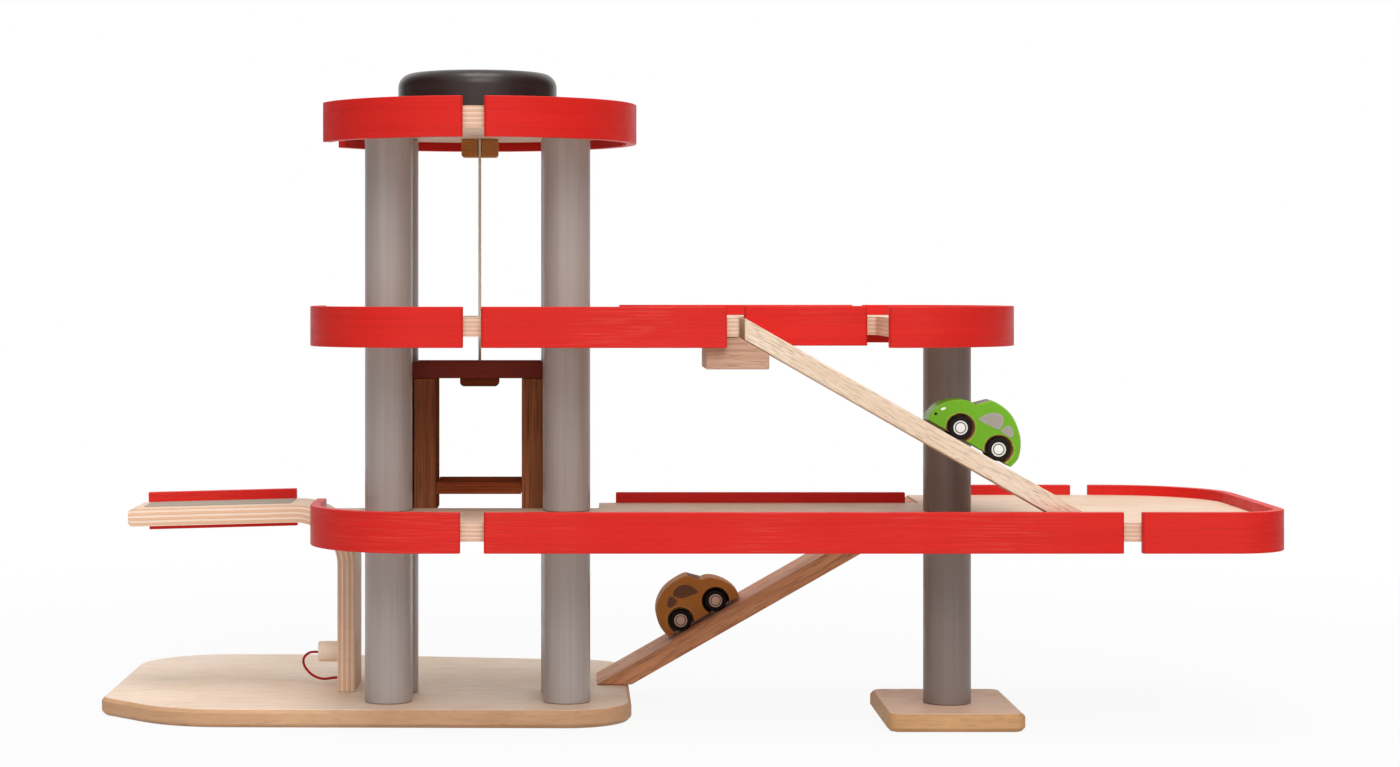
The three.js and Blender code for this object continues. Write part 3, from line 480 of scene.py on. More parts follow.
# Each finish's maker, its colours and its values. A colour is a setting's name or as it is seen.
FINISHES = {
    # The rails' second colour is partly scuffs and partly a painted highlight on the top edges.
    "Rail paint": (painted_wood, ("rail_red", "rail_worn"), dict(
        lines=(14, 14, 1100), roughness=0.42, streak=0.4, edge_strength=0.6, sheen=0.12, scratches=0.6,
        relief=0.35)),
    "Column paint": (painted_wood, ("column_grey", (196, 190, 184)), dict(
        lines=(620, 620, 9), roughness=0.33, streak=0.5, edge_strength=0.5, fade=0.16, sheen=0.7,
        relief=0.12)),
    # Painted shade: the column at the ramp gets its own darker grey.
    "End column paint": (painted_wood, ("end_column_grey", (176, 166, 160)), dict(
        lines=(620, 620, 9), roughness=0.36, streak=0.5, edge_strength=0.5, fade=0.1, sheen=0.5,
        relief=0.12)),
    "Tenon end grain": (wood, BASE_WOOD, dict(lines=(900, 900, 20), flecks=0.7)),
    "Deck face": (wood, DECK_WOOD, dict(lines=(16, 520, 520), flecks=0.3, contrast=0.5)),
    "Lower deck edge": (plywood_edge, DECK_WOOD, dict(board="lower_deck")),
    "Middle deck edge": (plywood_edge, DECK_WOOD, dict(board="middle_deck")),
    "Top deck edge": (plywood_edge, DECK_WOOD, dict(board="top_deck")),
    "Base face": (wood, BASE_WOOD, dict(lines=(22, 420, 420), flecks=0.35, contrast=0.45)),
    "Base edge": (wood, ((222, 178, 140), (188, 140, 100), "beech_light"), dict(
        lines=(38, 38, 300), flecks=0.2, contrast=0.5)),
    "Foot face": (wood, ((254, 228, 206), (230, 194, 166)), dict(
        lines=(22, 420, 420), flecks=0.35, contrast=0.5)),
    "Foot edge": (wood, ((230, 182, 132), (196, 146, 98), "edge_tan"), dict(
        lines=(38, 38, 300), flecks=0.2, contrast=0.5)),
    "Upper ramp wood": (wood, ((246, 226, 204), (222, 190, 160)), dict(
        lines=(60, 1200, 1200), lean=RAMP_SLOPE, flecks=0.75)),
    # Painted shade: the lower ramp's colours are its beech as it looks in the shade under the
    # decks.
    "Lower ramp wood": (wood, ("ramp_brown", "ramp_brown_dark", (214, 172, 140)), dict(
        lines=(30, 520, 520), lean=-RAMP_SLOPE)),
    "Bracket wood": (wood, ((206, 164, 138), (180, 134, 106)), dict(
        lines=(30, 600, 600), flecks=0.6)),
    "Canopy face": (wood, DECK_WOOD, dict(lines=(18, 480, 480), flecks=0.3, contrast=0.5)),
    "Canopy edge": (plywood_edge, ((254, 230, 210), (232, 182, 144)), dict(layers=7)),
    "Canopy panel": (painted_wood, ("panel_grey", (190, 180, 164)), dict(
        lines=(300, 300, 300), roughness=0.6, streak=0.2, edge_strength=0.4, fade=0.16)),
    "Peg wood": (wood, ((255, 246, 230), (252, 224, 200)), dict(
        lines=(30, 700, 700), flecks=0.1)),
    # Painted shade: the lift's walls, floor and roof have the shade inside the tower painted into
    # their colours; their paler edge colours are partly a painted highlight.
    "Lift wood": (wood, ("lift_brown", "lift_brown_dark", (176, 116, 76)), dict(
        lines=(500, 500, 12), flecks=0.6, sheen=0)),
    "Lift floor wood": (wood, ((160, 86, 50), (106, 42, 26), (196, 136, 92)), dict(
        lines=(12, 500, 500), flecks=0.6, sheen=0)),
    "Lift roof paint": (painted_wood, ("roof_maroon", (160, 60, 52)), dict(
        lines=(14, 500, 500), roughness=0.5, streak=0.35, edge_strength=0.5, sheen=0)),
    "Guide wood": (wood, ("guide_tan", (168, 104, 50), (222, 166, 106)), dict(
        lines=(20, 600, 600))),
    "Knob paint": (painted_wood, ("knob_black", (60, 50, 48)), dict(
        lines=(260, 260, 260), roughness=0.3, streak=0.2, edge_strength=0.1, fade=0, sheen=0.4,
        relief=0.02)),
    "Lift string": (twisted_fibre, ("string",), {}),
    "Pump cord": (twisted_fibre, ("hose",), dict(roughness=0.7)),
    "Axle steel": (turned_steel, ("steel",), {}),
    # The second colour of each gloss finish is a painted highlight along the rounded edges.
    "Green gloss": (gloss_paint, ("car_green", (176, 214, 84)), dict(roughness=0.3)),
    # Painted shade in the amber car's body colour, and a painted highlight in its paler edge
    # colour.
    "Amber gloss": (gloss_paint, ("car_amber", (226, 184, 124)), dict(roughness=0.5)),
    "Arch wood": (wood, ("car_wood", (150, 108, 60)), dict(lines=(200, 900, 900))),
    "Grey pane": (gloss_paint, ("pane_grey", (190, 182, 172)), dict(roughness=0.5)),
    # Painted shade in the amber car's panes.
    "Brown pane": (gloss_paint, ("pane_brown", (126, 88, 66)), dict(roughness=0.6)),
    "Headlight white": (gloss_paint, ("hub_white", (255, 255, 250)), dict(roughness=0.3, coat=0.2)),
    "Tyre black": (gloss_paint, ("tyre", (70, 62, 60)), dict(roughness=0.5)),
    "White hub": (gloss_paint, ("hub_white", (255, 255, 250)), dict(roughness=0.4, coat=0.1)),
    # Painted shade: white hubs darkened to tan as they look under the decks.
    "Tan hub": (gloss_paint, ("hub_tan", (226, 198, 180)), dict(roughness=0.4, coat=0.1)),
    "Hub ring": (gloss_paint, ("hub_ring", (150, 146, 146)), dict(roughness=0.4, coat=0.1)),
}


def material(name):
    """A finish by name, made when it is first asked for."""
    if name not in bpy.data.materials:
        maker, colours, values = FINISHES[name]
        look = bpy.context.scene.garage_finish
        tones = [getattr(look, tone) if isinstance(tone, str) else paint(*tone) for tone in colours]
        maker(name, *tones, **values)
    return bpy.data.materials[name]


# Mesh building


def middle_of(cad_node):
    """X, Y and Z of the middle of a CAD node."""
    return [(low + high) / 2 for low, high in zip(*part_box(cad_node))]


def new_object(name, data):
    """An object of the scene."""
    made = bpy.data.objects.new(name, data)
    bpy.context.scene.collection.objects.link(made)
    return made


def put_in_scene(name, mesh, finishes, transform=None):
    """An object of the scene from a mesh, with its finishes."""
    made = new_object(name, mesh)
    for finish in finishes:
        mesh.materials.append(material(finish))
    if transform is not None:
        made.matrix_world = transform
    return made


def settle(made, body, slot, cad_node=None):
    """Lets a piece ride on a body in place of a CAD node. Its slot is not used."""
    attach(made, body)
    if cad_node:
        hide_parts(cad_node)
    return made


def smooth(made, angle=35):
    """Smooth shading that keeps sharp edges, with normals weighted by the flat faces."""
    mesh = made.data
    mesh.polygons.foreach_set("use_smooth", [True] * len(mesh.polygons))
    mesh.set_sharp_from_angle(angle=math.radians(angle))
    weighted = made.modifiers.new("Face normals", "WEIGHTED_NORMAL")
    weighted.keep_sharp = True
    return made


def mesh_from(name, points, faces, indices=None):
    """A mesh from points and faces, with the faces' material numbers."""
    mesh = bpy.data.meshes.new(name)
    mesh.from_pydata(points, [], faces)
    if indices:
        mesh.polygons.foreach_set("material_index", indices)
    mesh.update()
    return mesh


def mesh_of(name, bm):
    """A mesh from a finished bmesh."""
    mesh = bpy.data.meshes.new(name)
    bm.to_mesh(mesh)
    bm.free()
    return mesh


def prism(low, high):
    """A closed bmesh between two loops of points."""
    bm = bmesh.new()
    near, far = ([bm.verts.new(point) for point in loop] for loop in (low, high))
    bm.faces.new(list(reversed(near)))
    bm.faces.new(far)
    for index in range(len(near)):
        after = (index + 1) % len(near)
        bm.faces.new((near[index], near[after], far[after], far[index]))
    bmesh.ops.recalc_face_normals(bm, faces=bm.faces)
    return bm


def round_over(bm, edges, radius, segments, clamp=False):
    """Rounds some of a bmesh's edges."""
    bmesh.ops.bevel(
        bm, geom=edges, offset=radius, segments=segments, profile=0.5, affect="EDGES",
        clamp_overlap=clamp)


WELD = 0.02 * MM  # points of a CAD node nearer than this are one
FLAT_TURN = math.radians(0.6)  # faces that turn less than this are one
EDGE_TURN = math.radians(22)  # and edges that turn more are rounded over


def rounded_piece(cad_node, rounding, finishes, slot, pick=None, segments=3, name=None):
    """The wooden piece of a CAD node with its edges rounded over."""
    name = name or cad_node.capitalize()
    bm = bmesh.new()
    bm.from_mesh(frame["nodes"][cad_node].data)
    bmesh.ops.remove_doubles(bm, verts=bm.verts, dist=WELD)
    bmesh.ops.dissolve_limit(
        bm, angle_limit=FLAT_TURN, verts=bm.verts, edges=bm.edges, use_dissolve_boundaries=False)
    sharp = [edge for edge in bm.edges
             if len(edge.link_faces) == 2 and edge.calc_face_angle(0) > EDGE_TURN]
    round_over(bm, sharp, rounding, segments, clamp=True)
    bm.normal_update()
    if pick:
        for face in bm.faces:
            face.material_index = pick(face.normal.z)
    made = smooth(put_in_scene(name, mesh_of(name, bm), finishes))
    return settle(made, frame["nodes"][cad_node]["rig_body"], slot, cad_node)


FACE_RISE = 0.75  # a face whose normal rises more than this is a board's flat face


def flat_or_edge(rise):
    """Material 0 on a board's flat faces and 1 on its edges."""
    return int(abs(rise) <= FACE_RISE)


def top_or_rest(rise):
    """Material 0 on a board's top and 1 on the rest."""
    return int(rise <= FACE_RISE)


def lathe(name, profile, segments, finishes, transform, indices=None):
    """A turned piece about Z from a profile of radius and height that ends on the axis."""
    points, rings, faces, numbers = [], [], [], []
    for radius, height in profile:
        count = segments if radius else 1
        rings.append(range(len(points), len(points) + count))
        for step in range(count):
            angle = math.tau * step / segments
            points.append((radius * math.cos(angle), radius * math.sin(angle), height))
    for index, (low, high) in enumerate(zip(rings, rings[1:])):
        for step in range(segments):
            after = (step + 1) % segments
            corners = (low[step % len(low)], low[after % len(low)],
                       high[after % len(high)], high[step % len(high)])
            faces.append(tuple(dict.fromkeys(corners)))
            numbers.append(indices[index] if indices else 0)
    return smooth(put_in_scene(name, mesh_from(name, points, faces, numbers), finishes, transform))


def corner_arc(centre, radius, start, end, steps):
    """Points of a part of a circle in a profile, with angles in degrees."""
    arc = []
    for step in range(steps + 1):
        angle = math.radians(start + (end - start) * step / steps)
        arc.append((centre[0] + radius * math.cos(angle), centre[1] + radius * math.sin(angle)))
    return arc


def smooth_line(points, steps, pull=0.5, closed=False):
    """A smooth curve through points, with so many steps between two of them."""
    count = len(points)

    def point(index):
        return points[index % count if closed else min(max(index, 0), count - 1)]

    line = []
    for index in range(count if closed else count - 1):
        before, here, ahead, beyond = (point(index + shift) for shift in (-1, 0, 1, 2))
        for step in range(steps):
            t = step / steps
            line.append(here * (2 * t**3 - 3 * t**2 + 1) + ahead * (3 * t**2 - 2 * t**3)
                        + (ahead - before) * pull * (t**3 - 2 * t**2 + t)
                        + (beyond - here) * pull * (t**3 - t**2))
    return line if closed else [*line, points[-1].copy()]


def tube_faces(count, around):
    """Faces of a tube of so many points, with so many round it: its quads, then its ends."""
    faces = []
    for row in range(0, count - around, around):
        for side in range(around):
            after = (side + 1) % around
            following = row + around
            faces.append((row + side, row + after, following + after, following + side))
    return [*faces, tuple(reversed(range(around))), tuple(range(count - around, count))]


STRING_SIDES = 12
STRAND_RELIEF = 0.05  # how far the strands stand out, as a share of the radius


def string_along(name, path, radius, lay, finish, strands=3):
    """A twisted string along a path: its strands wind round its middle."""
    points = []
    travelled = 0.0
    across = None
    for index, place in enumerate(path):
        before = path[max(index - 1, 0)]
        after = path[min(index + 1, len(path) - 1)]
        heading = (after - before).normalized()
        if across is None:
            across = heading.orthogonal().normalized()
        across = (across - heading * across.dot(heading)).normalized()
        aside = heading.cross(across)
        if index:
            travelled += (place - before).length
        twist = math.tau * travelled / lay
        for side in range(STRING_SIDES):
            angle = math.tau * side / STRING_SIDES
            relief = STRAND_RELIEF * abs(math.cos(strands * angle / 2))
            reach = radius * (1 - STRAND_RELIEF + relief)
            points.append(place + across * reach * math.cos(angle + twist)
                          + aside * reach * math.sin(angle + twist))
    mesh = mesh_from(name, points, tube_faces(len(points), STRING_SIDES))
    return smooth(put_in_scene(name, mesh, [finish]), 60)


# Stage

WHITE = (1, 1, 1, 1)
SENSOR_WIDTH = 36
CAMERA_SHIFT = (0.0929, -0.0704)
CLIP_END = 60
# Each lamp's place and size. All of them aim at one point.
LAMPS = {
    "key": ((0.2, -2.4, 1.75), (1.6, 1.6)),
    "top": ((0, -0.6, 2.3), (1.2, 1.2)),
    "side": ((1.7, -1.9, 1.1), (0.2, 1.6)),
}
LAMP_AIM = Vector((0, 0, 0.2))
SKY_TURN = (0.35, 0.85)  # how far a direction points aside where the sky starts and ends to dim
FLOOR_COLOUR = (0.7, 0.7, 0.69, 1)
FLOOR_GAP = 0.1 * MM
GLOW_REACH = (0.4, 1.2)  # distances between which the floor turns white
NEAR_GLOW = 0.92  # share of white under the toy, where its shadow shows


class GARAGE_OT_stage(bpy.types.Operator):
    """Camera, lamps, white surroundings and a pale floor"""

    bl_idname = "garage.stage"
    bl_label = "Stage"

    def execute(self, context):
        stage = context.scene.garage_stage
        context.scene.view_settings.view_transform = "Standard"
        self.set_camera(context.scene, stage)
        for name, (place, size) in LAMPS.items():
            self.add_lamp(name, place, size, getattr(stage, name))
        self.surround(context.scene, stage)
        self.lay_floor(stage.floor_reach)
        return {"FINISHED"}

    def set_camera(self, scene, stage):
        camera_data = bpy.data.cameras.new("Camera")
        camera_data.lens = stage.camera_lens
        camera_data.sensor_width = SENSOR_WIDTH
        camera_data.shift_x, camera_data.shift_y = CAMERA_SHIFT
        camera_data.clip_end = CLIP_END
        camera = new_object("Camera", camera_data)
        camera.location = (stage.camera_x, -stage.camera_distance, stage.camera_height)
        camera.rotation_euler = (QUARTER, 0, 0)
        scene.camera = camera

    def add_lamp(self, name, place, size, power):
        label = f"{name.capitalize()} lamp"
        lamp_data = bpy.data.lights.new(label, "AREA")
        lamp_data.shape = "RECTANGLE"
        lamp_data.size, lamp_data.size_y = size
        lamp_data.energy = power
        lamp = new_object(label, lamp_data)
        lamp.location = place
        lamp.rotation_euler = (LAMP_AIM - Vector(place)).to_track_quat("-Z", "Y").to_euler()

    def seen_directly(self, graph):
        """1 for rays that see the backdrop straight, in gloss or through glass."""
        rays = graph.add("ShaderNodeLightPath").outputs
        straight = graph.calculate("ADD", rays["Is Camera Ray"], rays["Is Glossy Ray"])
        return graph.calculate("ADD", straight, rays["Is Transmission Ray"], clamp=True)

    def show_either(self, graph, share, lit, seen, end):
        """Ends a tree with two shaders, by the share of the second."""
        mixed = graph.add("ShaderNodeMixShader")
        for socket, value in zip(mixed.inputs, (share, lit.outputs[0], seen.outputs[0])):
            feed(socket, value)
        fill(graph.tree.nodes[end], Surface=mixed.outputs[0])

    def surround(self, scene, stage):
        """A white room, lit from the front, above and behind, and little from the sides."""
        scene.world = bpy.data.worlds.new("White room")
        scene.world.use_nodes = True
        graph = Graph(scene.world.node_tree)
        parts = graph.add("ShaderNodeSeparateXYZ")
        feed(parts.inputs[0], graph.add("ShaderNodeTexCoord").outputs["Generated"])
        aside = graph.calculate("ABSOLUTE", parts.outputs["X"])
        share = graph.spread(aside, *SKY_TURN, 1, stage.sky_aside)
        light = fill(
            graph.tree.nodes["Background"], Color=WHITE, Strength=graph.times(share, stage.sky))
        rays = graph.add("ShaderNodeLightPath").outputs
        plain = graph.calculate("SUBTRACT", 1, rays["Is Glossy Ray"])
        white = fill(
            graph.add("ShaderNodeBackground"), Color=WHITE,
            Strength=graph.calculate("MAXIMUM", plain, share))
        self.show_either(graph, self.seen_directly(graph), light, white, "World Output")

    def lay_floor(self, reach):
        """A floor that is white where it is seen, and keeps the toy's shadow."""
        corners = [(-reach, -reach, 0), (reach, -reach, 0), (reach, reach, 0), (-reach, reach, 0)]
        mesh = mesh_from("Floor", corners, [(0, 1, 2, 3)])
        floor = new_object("Floor", mesh)
        floor.location.z = -FLOOR_GAP
        ground = Finish("Pale floor", 0.9, sheen=0.1)
        fill(ground.shader, Base_Color=FLOOR_COLOUR)
        away = ground.add("ShaderNodeVectorMath", operation="LENGTH")
        feed(away.inputs[0], ground.place)
        far = ground.spread(away.outputs["Value"], *GLOW_REACH, NEAR_GLOW, 1)
        share = ground.times(far, self.seen_directly(ground))
        glow = fill(ground.add("ShaderNodeEmission"), Color=WHITE, Strength=1)
        self.show_either(ground, share, ground.shader, glow, "Material Output")
        mesh.materials.append(ground.material)


# The pump's cord follows the route of its CAD solid: x and z at the middle of the bay
HOSE_ROUTE = [
    (-112.5, 35.5), (-115.2, 35.5), (-117.9, 35.2), (-120.3, 34), (-122.1, 32),
    (-122.9, 29.5), (-122.5, 26.9), (-121.3, 24.5), (-119.6, 22.3), (-117.7, 20.4),
    (-115.5, 18.9), (-113, 17.8), (-110.5, 17.1), (-107.8, 16.9), (-105.2, 17.2),
    (-102.5, 17.6), (-99.9, 17.8), (-97.2, 17.8),
]
HOSE_LAY = 4 * MM


class GARAGE_OT_pump_cord(bpy.types.Operator):
    """Short red cord of the pump, from its peg back into the canopy's post"""

    bl_idname = "garage.pump_cord"
    bl_label = "Pump cord"

    def execute(self, context):
        axis = middle_of("winding_knob")[0]
        middle = middle_of("pump_hose")[1]
        route = [Vector((axis + x * MM, middle, z * MM)) for x, z in HOSE_ROUTE]
        path = smooth_line(route, 4)
        diameter = sizes().hose_diameter
        cord = string_along("Pump_cord", path, diameter / 2, HOSE_LAY, "Pump cord", strands=2)
        settle(cord, "garage", "hose_cord", "pump_hose")
        run = sum((b - a).length for a, b in zip(path, path[1:]))
        [tuple(point) for point in path]
        return {"FINISHED"}


class GARAGE_OT_base_boards(bpy.types.Operator):
    """Base board under the tower and foot under the right column"""

    bl_idname = "garage.base_boards"
    bl_label = "Base boards"

    def execute(self, context):
        for cad_node, board in (("base_board", "Base"), ("foot_plate", "Foot")):
            finishes = [f"{board} face", f"{board} edge"]
            rounded_piece(
                cad_node, sizes().board_rounding, finishes, "beech", top_or_rest, 2)
        return {"FINISHED"}


class GARAGE_OT_columns(bpy.types.Operator):
    """Painted columns with the tenons that hold the decks"""

    bl_idname = "garage.columns"
    bl_label = "Columns"

    def execute(self, context):
        for cad_node in sorted(frame["nodes"]):
            if "_column" in cad_node:
                self.turn_column(cad_node, sizes())
        return {"FINISHED"}

    def turn_column(self, cad_node, size):
        """A column up to its shoulder under the deck, and its tenon above."""
        low, high = (corner.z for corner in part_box(cad_node))
        x, y, _ = middle_of(cad_node)
        middle = Vector((x, y, 0))
        body, tenon, rounding = size.column_radius, size.tenon_radius, size.column_rounding
        shoulder = max(
            vertex.co.z for vertex in frame["nodes"][cad_node].data.vertices
            if (vertex.co - middle).xy.length > (body + tenon) / 2)
        painted = [*corner_arc((body - rounding, low + rounding), rounding, -90, 0, 3),
                   *corner_arc((body - rounding, shoulder - rounding), rounding, 0, 90, 3)]
        tip = corner_arc((tenon - rounding, high - rounding), rounding, 0, 90, 3)
        bare = [(tenon, shoulder), *tip, (0, high)]
        # The column at the ramp takes the grey with painted shade.
        coat = "End column paint" if cad_node.startswith("end_") else "Column paint"
        made = lathe(
            cad_node.capitalize(), [(0, low), *painted, *bare], 72, [coat, "Tenon end grain"],
            Matrix.Translation(middle), [0] * len(painted) + [1] * len(bare))
        settle(made, "garage", "grey_paint", cad_node)


class GARAGE_OT_decks(bpy.types.Operator):
    """Plywood decks of the three storeys"""

    bl_idname = "garage.decks"
    bl_label = "Decks"

    def execute(self, context):
        for storey in ("lower", "middle", "top"):
            finishes = ["Deck face", f"{storey.capitalize()} deck edge"]
            rounded_piece(
                f"{storey}_deck", sizes().deck_rounding, finishes, "birch_ply", flat_or_edge, 2)
        return {"FINISHED"}


class GARAGE_OT_rails(bpy.types.Operator):
    """Red rails bent round the decks' edges"""

    bl_idname = "garage.rails"
    bl_label = "Rails"

    def execute(self, context):
        for cad_node in sorted(frame["nodes"]):
            if "_rail" in cad_node:
                rounded_piece(cad_node, sizes().rail_rounding, ["Rail paint"], "red_paint")
        return {"FINISHED"}


class GARAGE_OT_ramps(bpy.types.Operator):
    """Ramps and the wedge blocks that carry their upper ends"""

    bl_idname = "garage.ramps"
    bl_label = "Ramps"

    def execute(self, context):
        for ramp in ("upper_ramp", "lower_ramp"):
            ramp_wood = f"{ramp.capitalize().replace('_', ' ')} wood"
            for cad_node, wood_name in ((ramp, ramp_wood), (f"{ramp}_bracket", "Bracket wood")):
                rounded_piece(cad_node, sizes().ramp_rounding, [wood_name], "beech")
        return {"FINISHED"}


CANOPY_THICKNESS = 12 * MM
CANOPY_BEND = 41 * MM  # radius of the bend outside
CANOPY_SHOULDER = 98.5 * MM  # height at which the post starts to bend
CANOPY_DROOP = math.radians(1.5)  # how much the free end hangs
CANOPY_TIP = 3 * MM  # rounding of the free end
CANOPY_EDGE = 0.5 * MM  # rounding of the long edges
CANOPY_LAYERS = 4
BEND_STEPS = 24
TIP_STEPS = 5
PANEL_SINK = 0.05 * MM
PANEL_CORNER = 3 * MM
PANEL_RIM = 0.12 * MM
SHARP_TURN = 0.8
PEG_ROUNDING = (0.4 * MM, 1.1 * MM)  # at its hidden end and at its free end


class GARAGE_OT_canopy(bpy.types.Operator):
    """Bent plywood canopy of the filling bay, with its road panel and the pump's peg"""

    bl_idname = "garage.canopy"
    bl_label = "Canopy"

    def execute(self, context):
        self.bend_board()
        self.lay_panel()
        self.turn_peg()
        return {"FINISHED"}

    def outlines(self):
        """Outer and inner line of the board, from the post's foot to the free end."""
        low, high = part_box("canopy")
        bend = Vector((high.x - CANOPY_BEND, CANOPY_SHOULDER))
        outer = [Vector((high.x, z)) for z in (low.z, (low.z + bend.y) / 2)]
        inner = [Vector((point.x - CANOPY_THICKNESS, point.y)) for point in outer]
        for step in range(BEND_STEPS + 1):
            angle = (QUARTER + CANOPY_DROOP) * step / BEND_STEPS
            heading = Vector((math.cos(angle), math.sin(angle)))
            outer.append(bend + heading * CANOPY_BEND)
            inner.append(bend + heading * (CANOPY_BEND - CANOPY_THICKNESS))
        run = outer[-1].x - low.x
        last_outer, last_inner = outer[-1], inner[-1]
        for share in (0.25, 0.5, 0.75, 1 - CANOPY_TIP / run):
            fall = Vector((-share * run, -share * run * math.tan(CANOPY_DROOP)))
            outer.append(last_outer + fall)
            inner.append(last_inner + fall + Vector((last_outer.x - last_inner.x, 0)) * share)
        last_outer, last_inner = outer[-1], inner[-1]
        for step in range(1, TIP_STEPS + 1):
            angle = QUARTER * step / TIP_STEPS
            tuck = Vector((0, CANOPY_TIP * (1 - math.cos(angle))))
            ahead = CANOPY_TIP * math.sin(angle)
            fall = Vector((-ahead, -ahead * math.tan(CANOPY_DROOP)))
            outer.append(last_outer + fall - tuck)
            inner.append(last_inner + fall + tuck)
        return outer, inner

    def bend_board(self):
        """The board's cross section carried along its outlines, with a map through its plies."""
        low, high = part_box("canopy")
        outer, inner = self.outlines()
        layers = range(CANOPY_LAYERS + 1)
        points, through = [], []
        for outside, inside in zip(outer, inner):
            for side, inward, order in ((low.y, 1, layers), (high.y, -1, reversed(layers))):
                for layer in order:
                    place = inside.lerp(outside, layer / CANOPY_LAYERS)
                    tuck = CANOPY_EDGE if layer in (0, CANOPY_LAYERS) else 0
                    points.append((place.x, side + inward * tuck, place.y))
                    through.append(layer / CANOPY_LAYERS)
        edge = [1] * CANOPY_LAYERS  # a ring's faces: an edge, the top, an edge, the underside
        numbers = [*edge, 0, *edge, 0] * (len(outer) - 1) + [1, 1]
        mesh = mesh_from("Canopy", points, tube_faces(len(points), 2 * len(layers)), numbers)
        layer_map = mesh.uv_layers.new(name="Through the plies")
        for loop in mesh.loops:
            layer_map.data[loop.index].uv = (0.5, through[loop.vertex_index])
        made = put_in_scene("Canopy", mesh, ["Canopy face", "Canopy edge"])
        bm = bmesh.new()
        bm.from_mesh(mesh)
        bmesh.ops.recalc_face_normals(bm, faces=bm.faces)
        bm.to_mesh(mesh)
        bm.free()
        settle(smooth(made), "garage", "birch_ply", "canopy")

    def lay_panel(self):
        """The thin road panel on the canopy, with rounded corners."""
        low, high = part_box("canopy")
        size = sizes()
        left, right = low.x + 1.5 * size.panel_inset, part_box("canopy_rail")[1].x
        near, far = low.y + size.panel_near_inset, high.y - size.panel_inset
        crest = self.outlines()[0][BEND_STEPS + 2]
        corners = [Vector((x, y, crest.y - (crest.x - x) * math.tan(CANOPY_DROOP)))
                   for x, y in ((left, near), (right, near), (right, far), (left, far))]
        bm = prism(*([corner + Vector((0, 0, lift)) for corner in corners]
                     for lift in (PANEL_SINK, size.panel_thickness)))
        spans = [(edge, edge.verts[0].co - edge.verts[1].co) for edge in bm.edges]
        upright = [edge for edge, span in spans if span.xy.length < abs(span.z)]
        round_over(bm, upright, PANEL_CORNER, 5)
        rim = [edge for edge in bm.edges if edge.calc_face_angle(0) > SHARP_TURN]
        round_over(bm, rim, PANEL_RIM, 2)
        made = smooth(put_in_scene("Canopy_panel", mesh_of("Canopy_panel", bm), ["Canopy panel"]))
        settle(made, "garage", "grey_paint")

    def turn_peg(self):
        low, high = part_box("pump_peg")
        radius = (high.z - low.z) / 2
        tall = high.x - low.x
        hidden, free = PEG_ROUNDING
        profile = [(0, 0), *corner_arc((radius - hidden, hidden), hidden, -90, 0, 2),
                   *corner_arc((radius - free, tall - free), free, 0, 90, 5), (0, tall)]
        place = Matrix.Translation(Vector((high.x, *middle_of("pump_peg")[1:])))
        turn = Matrix.Rotation(-QUARTER, 4, "Y")
        made = lathe("Pump_peg", profile, 48, ["Peg wood"], place @ turn)
        settle(made, "garage", "beech", "pump_peg")


# Each of the lift's walls is one board with its shoe, and is made from the shoe
SHOE_FACE = 0.7 * MM  # depth of the shoe's outer face with its rounding
WALL_INSET = 1.2 * MM  # how much further in that face stands
STRING_STEPS = 150


class GARAGE_OT_lift(bpy.types.Operator):
    """Lift cabin with its roof, walls, floor and the shoes that guide it"""

    bl_idname = "garage.lift"
    bl_label = "Lift"

    def execute(self, context):
        rounding = sizes().lift_rounding
        for part, finish, slot in (
                ("roof", "Lift roof paint", "maroon_paint"),
                ("floor", "Lift floor wood", "brown_wood"),
                ("string_tab", "Lift floor wood", "brown_wood")):
            rounded_piece(f"lift_{part}", rounding, [finish], slot)
        for side, inward in (("left", 1), ("right", -1)):
            wall = rounded_piece(
                f"lift_shoe_{side}", rounding, ["Lift wood"], "brown_wood",
                name=f"Lift_wall_{side}")
            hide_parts(f"lift_shoe_{side}", f"lift_wall_{side}")
            self.raise_wall(wall.data.vertices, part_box(f"lift_wall_{side}")[1].z, inward)
        self.hang_string()
        return {"FINISHED"}

    def raise_wall(self, vertices, top, inward):
        """Takes a shoe's upper half up to the roof, so that wall and shoe are one board."""
        outer = min(inward * vertex.co.x for vertex in vertices)
        lift = top - max(vertex.co.z for vertex in vertices)
        middle = sum(vertex.co.z for vertex in vertices) / len(vertices)
        for vertex in vertices:
            if inward * vertex.co.x < outer + SHOE_FACE:
                vertex.co.x += inward * WALL_INSET
            if vertex.co.z > middle:
                vertex.co.z += lift

    def hang_string(self):
        """The string hanging straight from its guide down to the roof."""
        low, high = (corner.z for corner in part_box("lift_string"))
        x, y, _ = middle_of("lift_string")
        path = [Vector((x, y, high + (low - high) * step / STRING_STEPS))
                for step in range(STRING_STEPS + 1)]
        size = sizes()
        radius = size.string_diameter / 2
        string = string_along("Lift_string", path, radius, size.string_lay, "Lift string")
        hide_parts("lift_string")
        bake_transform(string)


GUIDE_ROUNDING = 0.7 * MM
AXLE_PLAY = 0.3 * MM
KNOB_GAP = 0.6 * MM  # between the knob's rim and the deck
KNOB_LIP = 1.4 * MM
KNOB_WALL = 3 * MM
KNOB_ROOF = 7 * MM
SPOOL_GAP = 1.5 * MM  # between the spool's flange and the deck
SPOOL_RADIUS = 20 * MM
FLANGE_RADIUS = 25 * MM
FLANGE_EDGE = 2 * MM
FLANGE_THICKNESS = 3 * MM
STRING_BEND = 3 * MM
FEED_STEPS = (16, 8, 40)  # of the string's level run, its bend and its way down


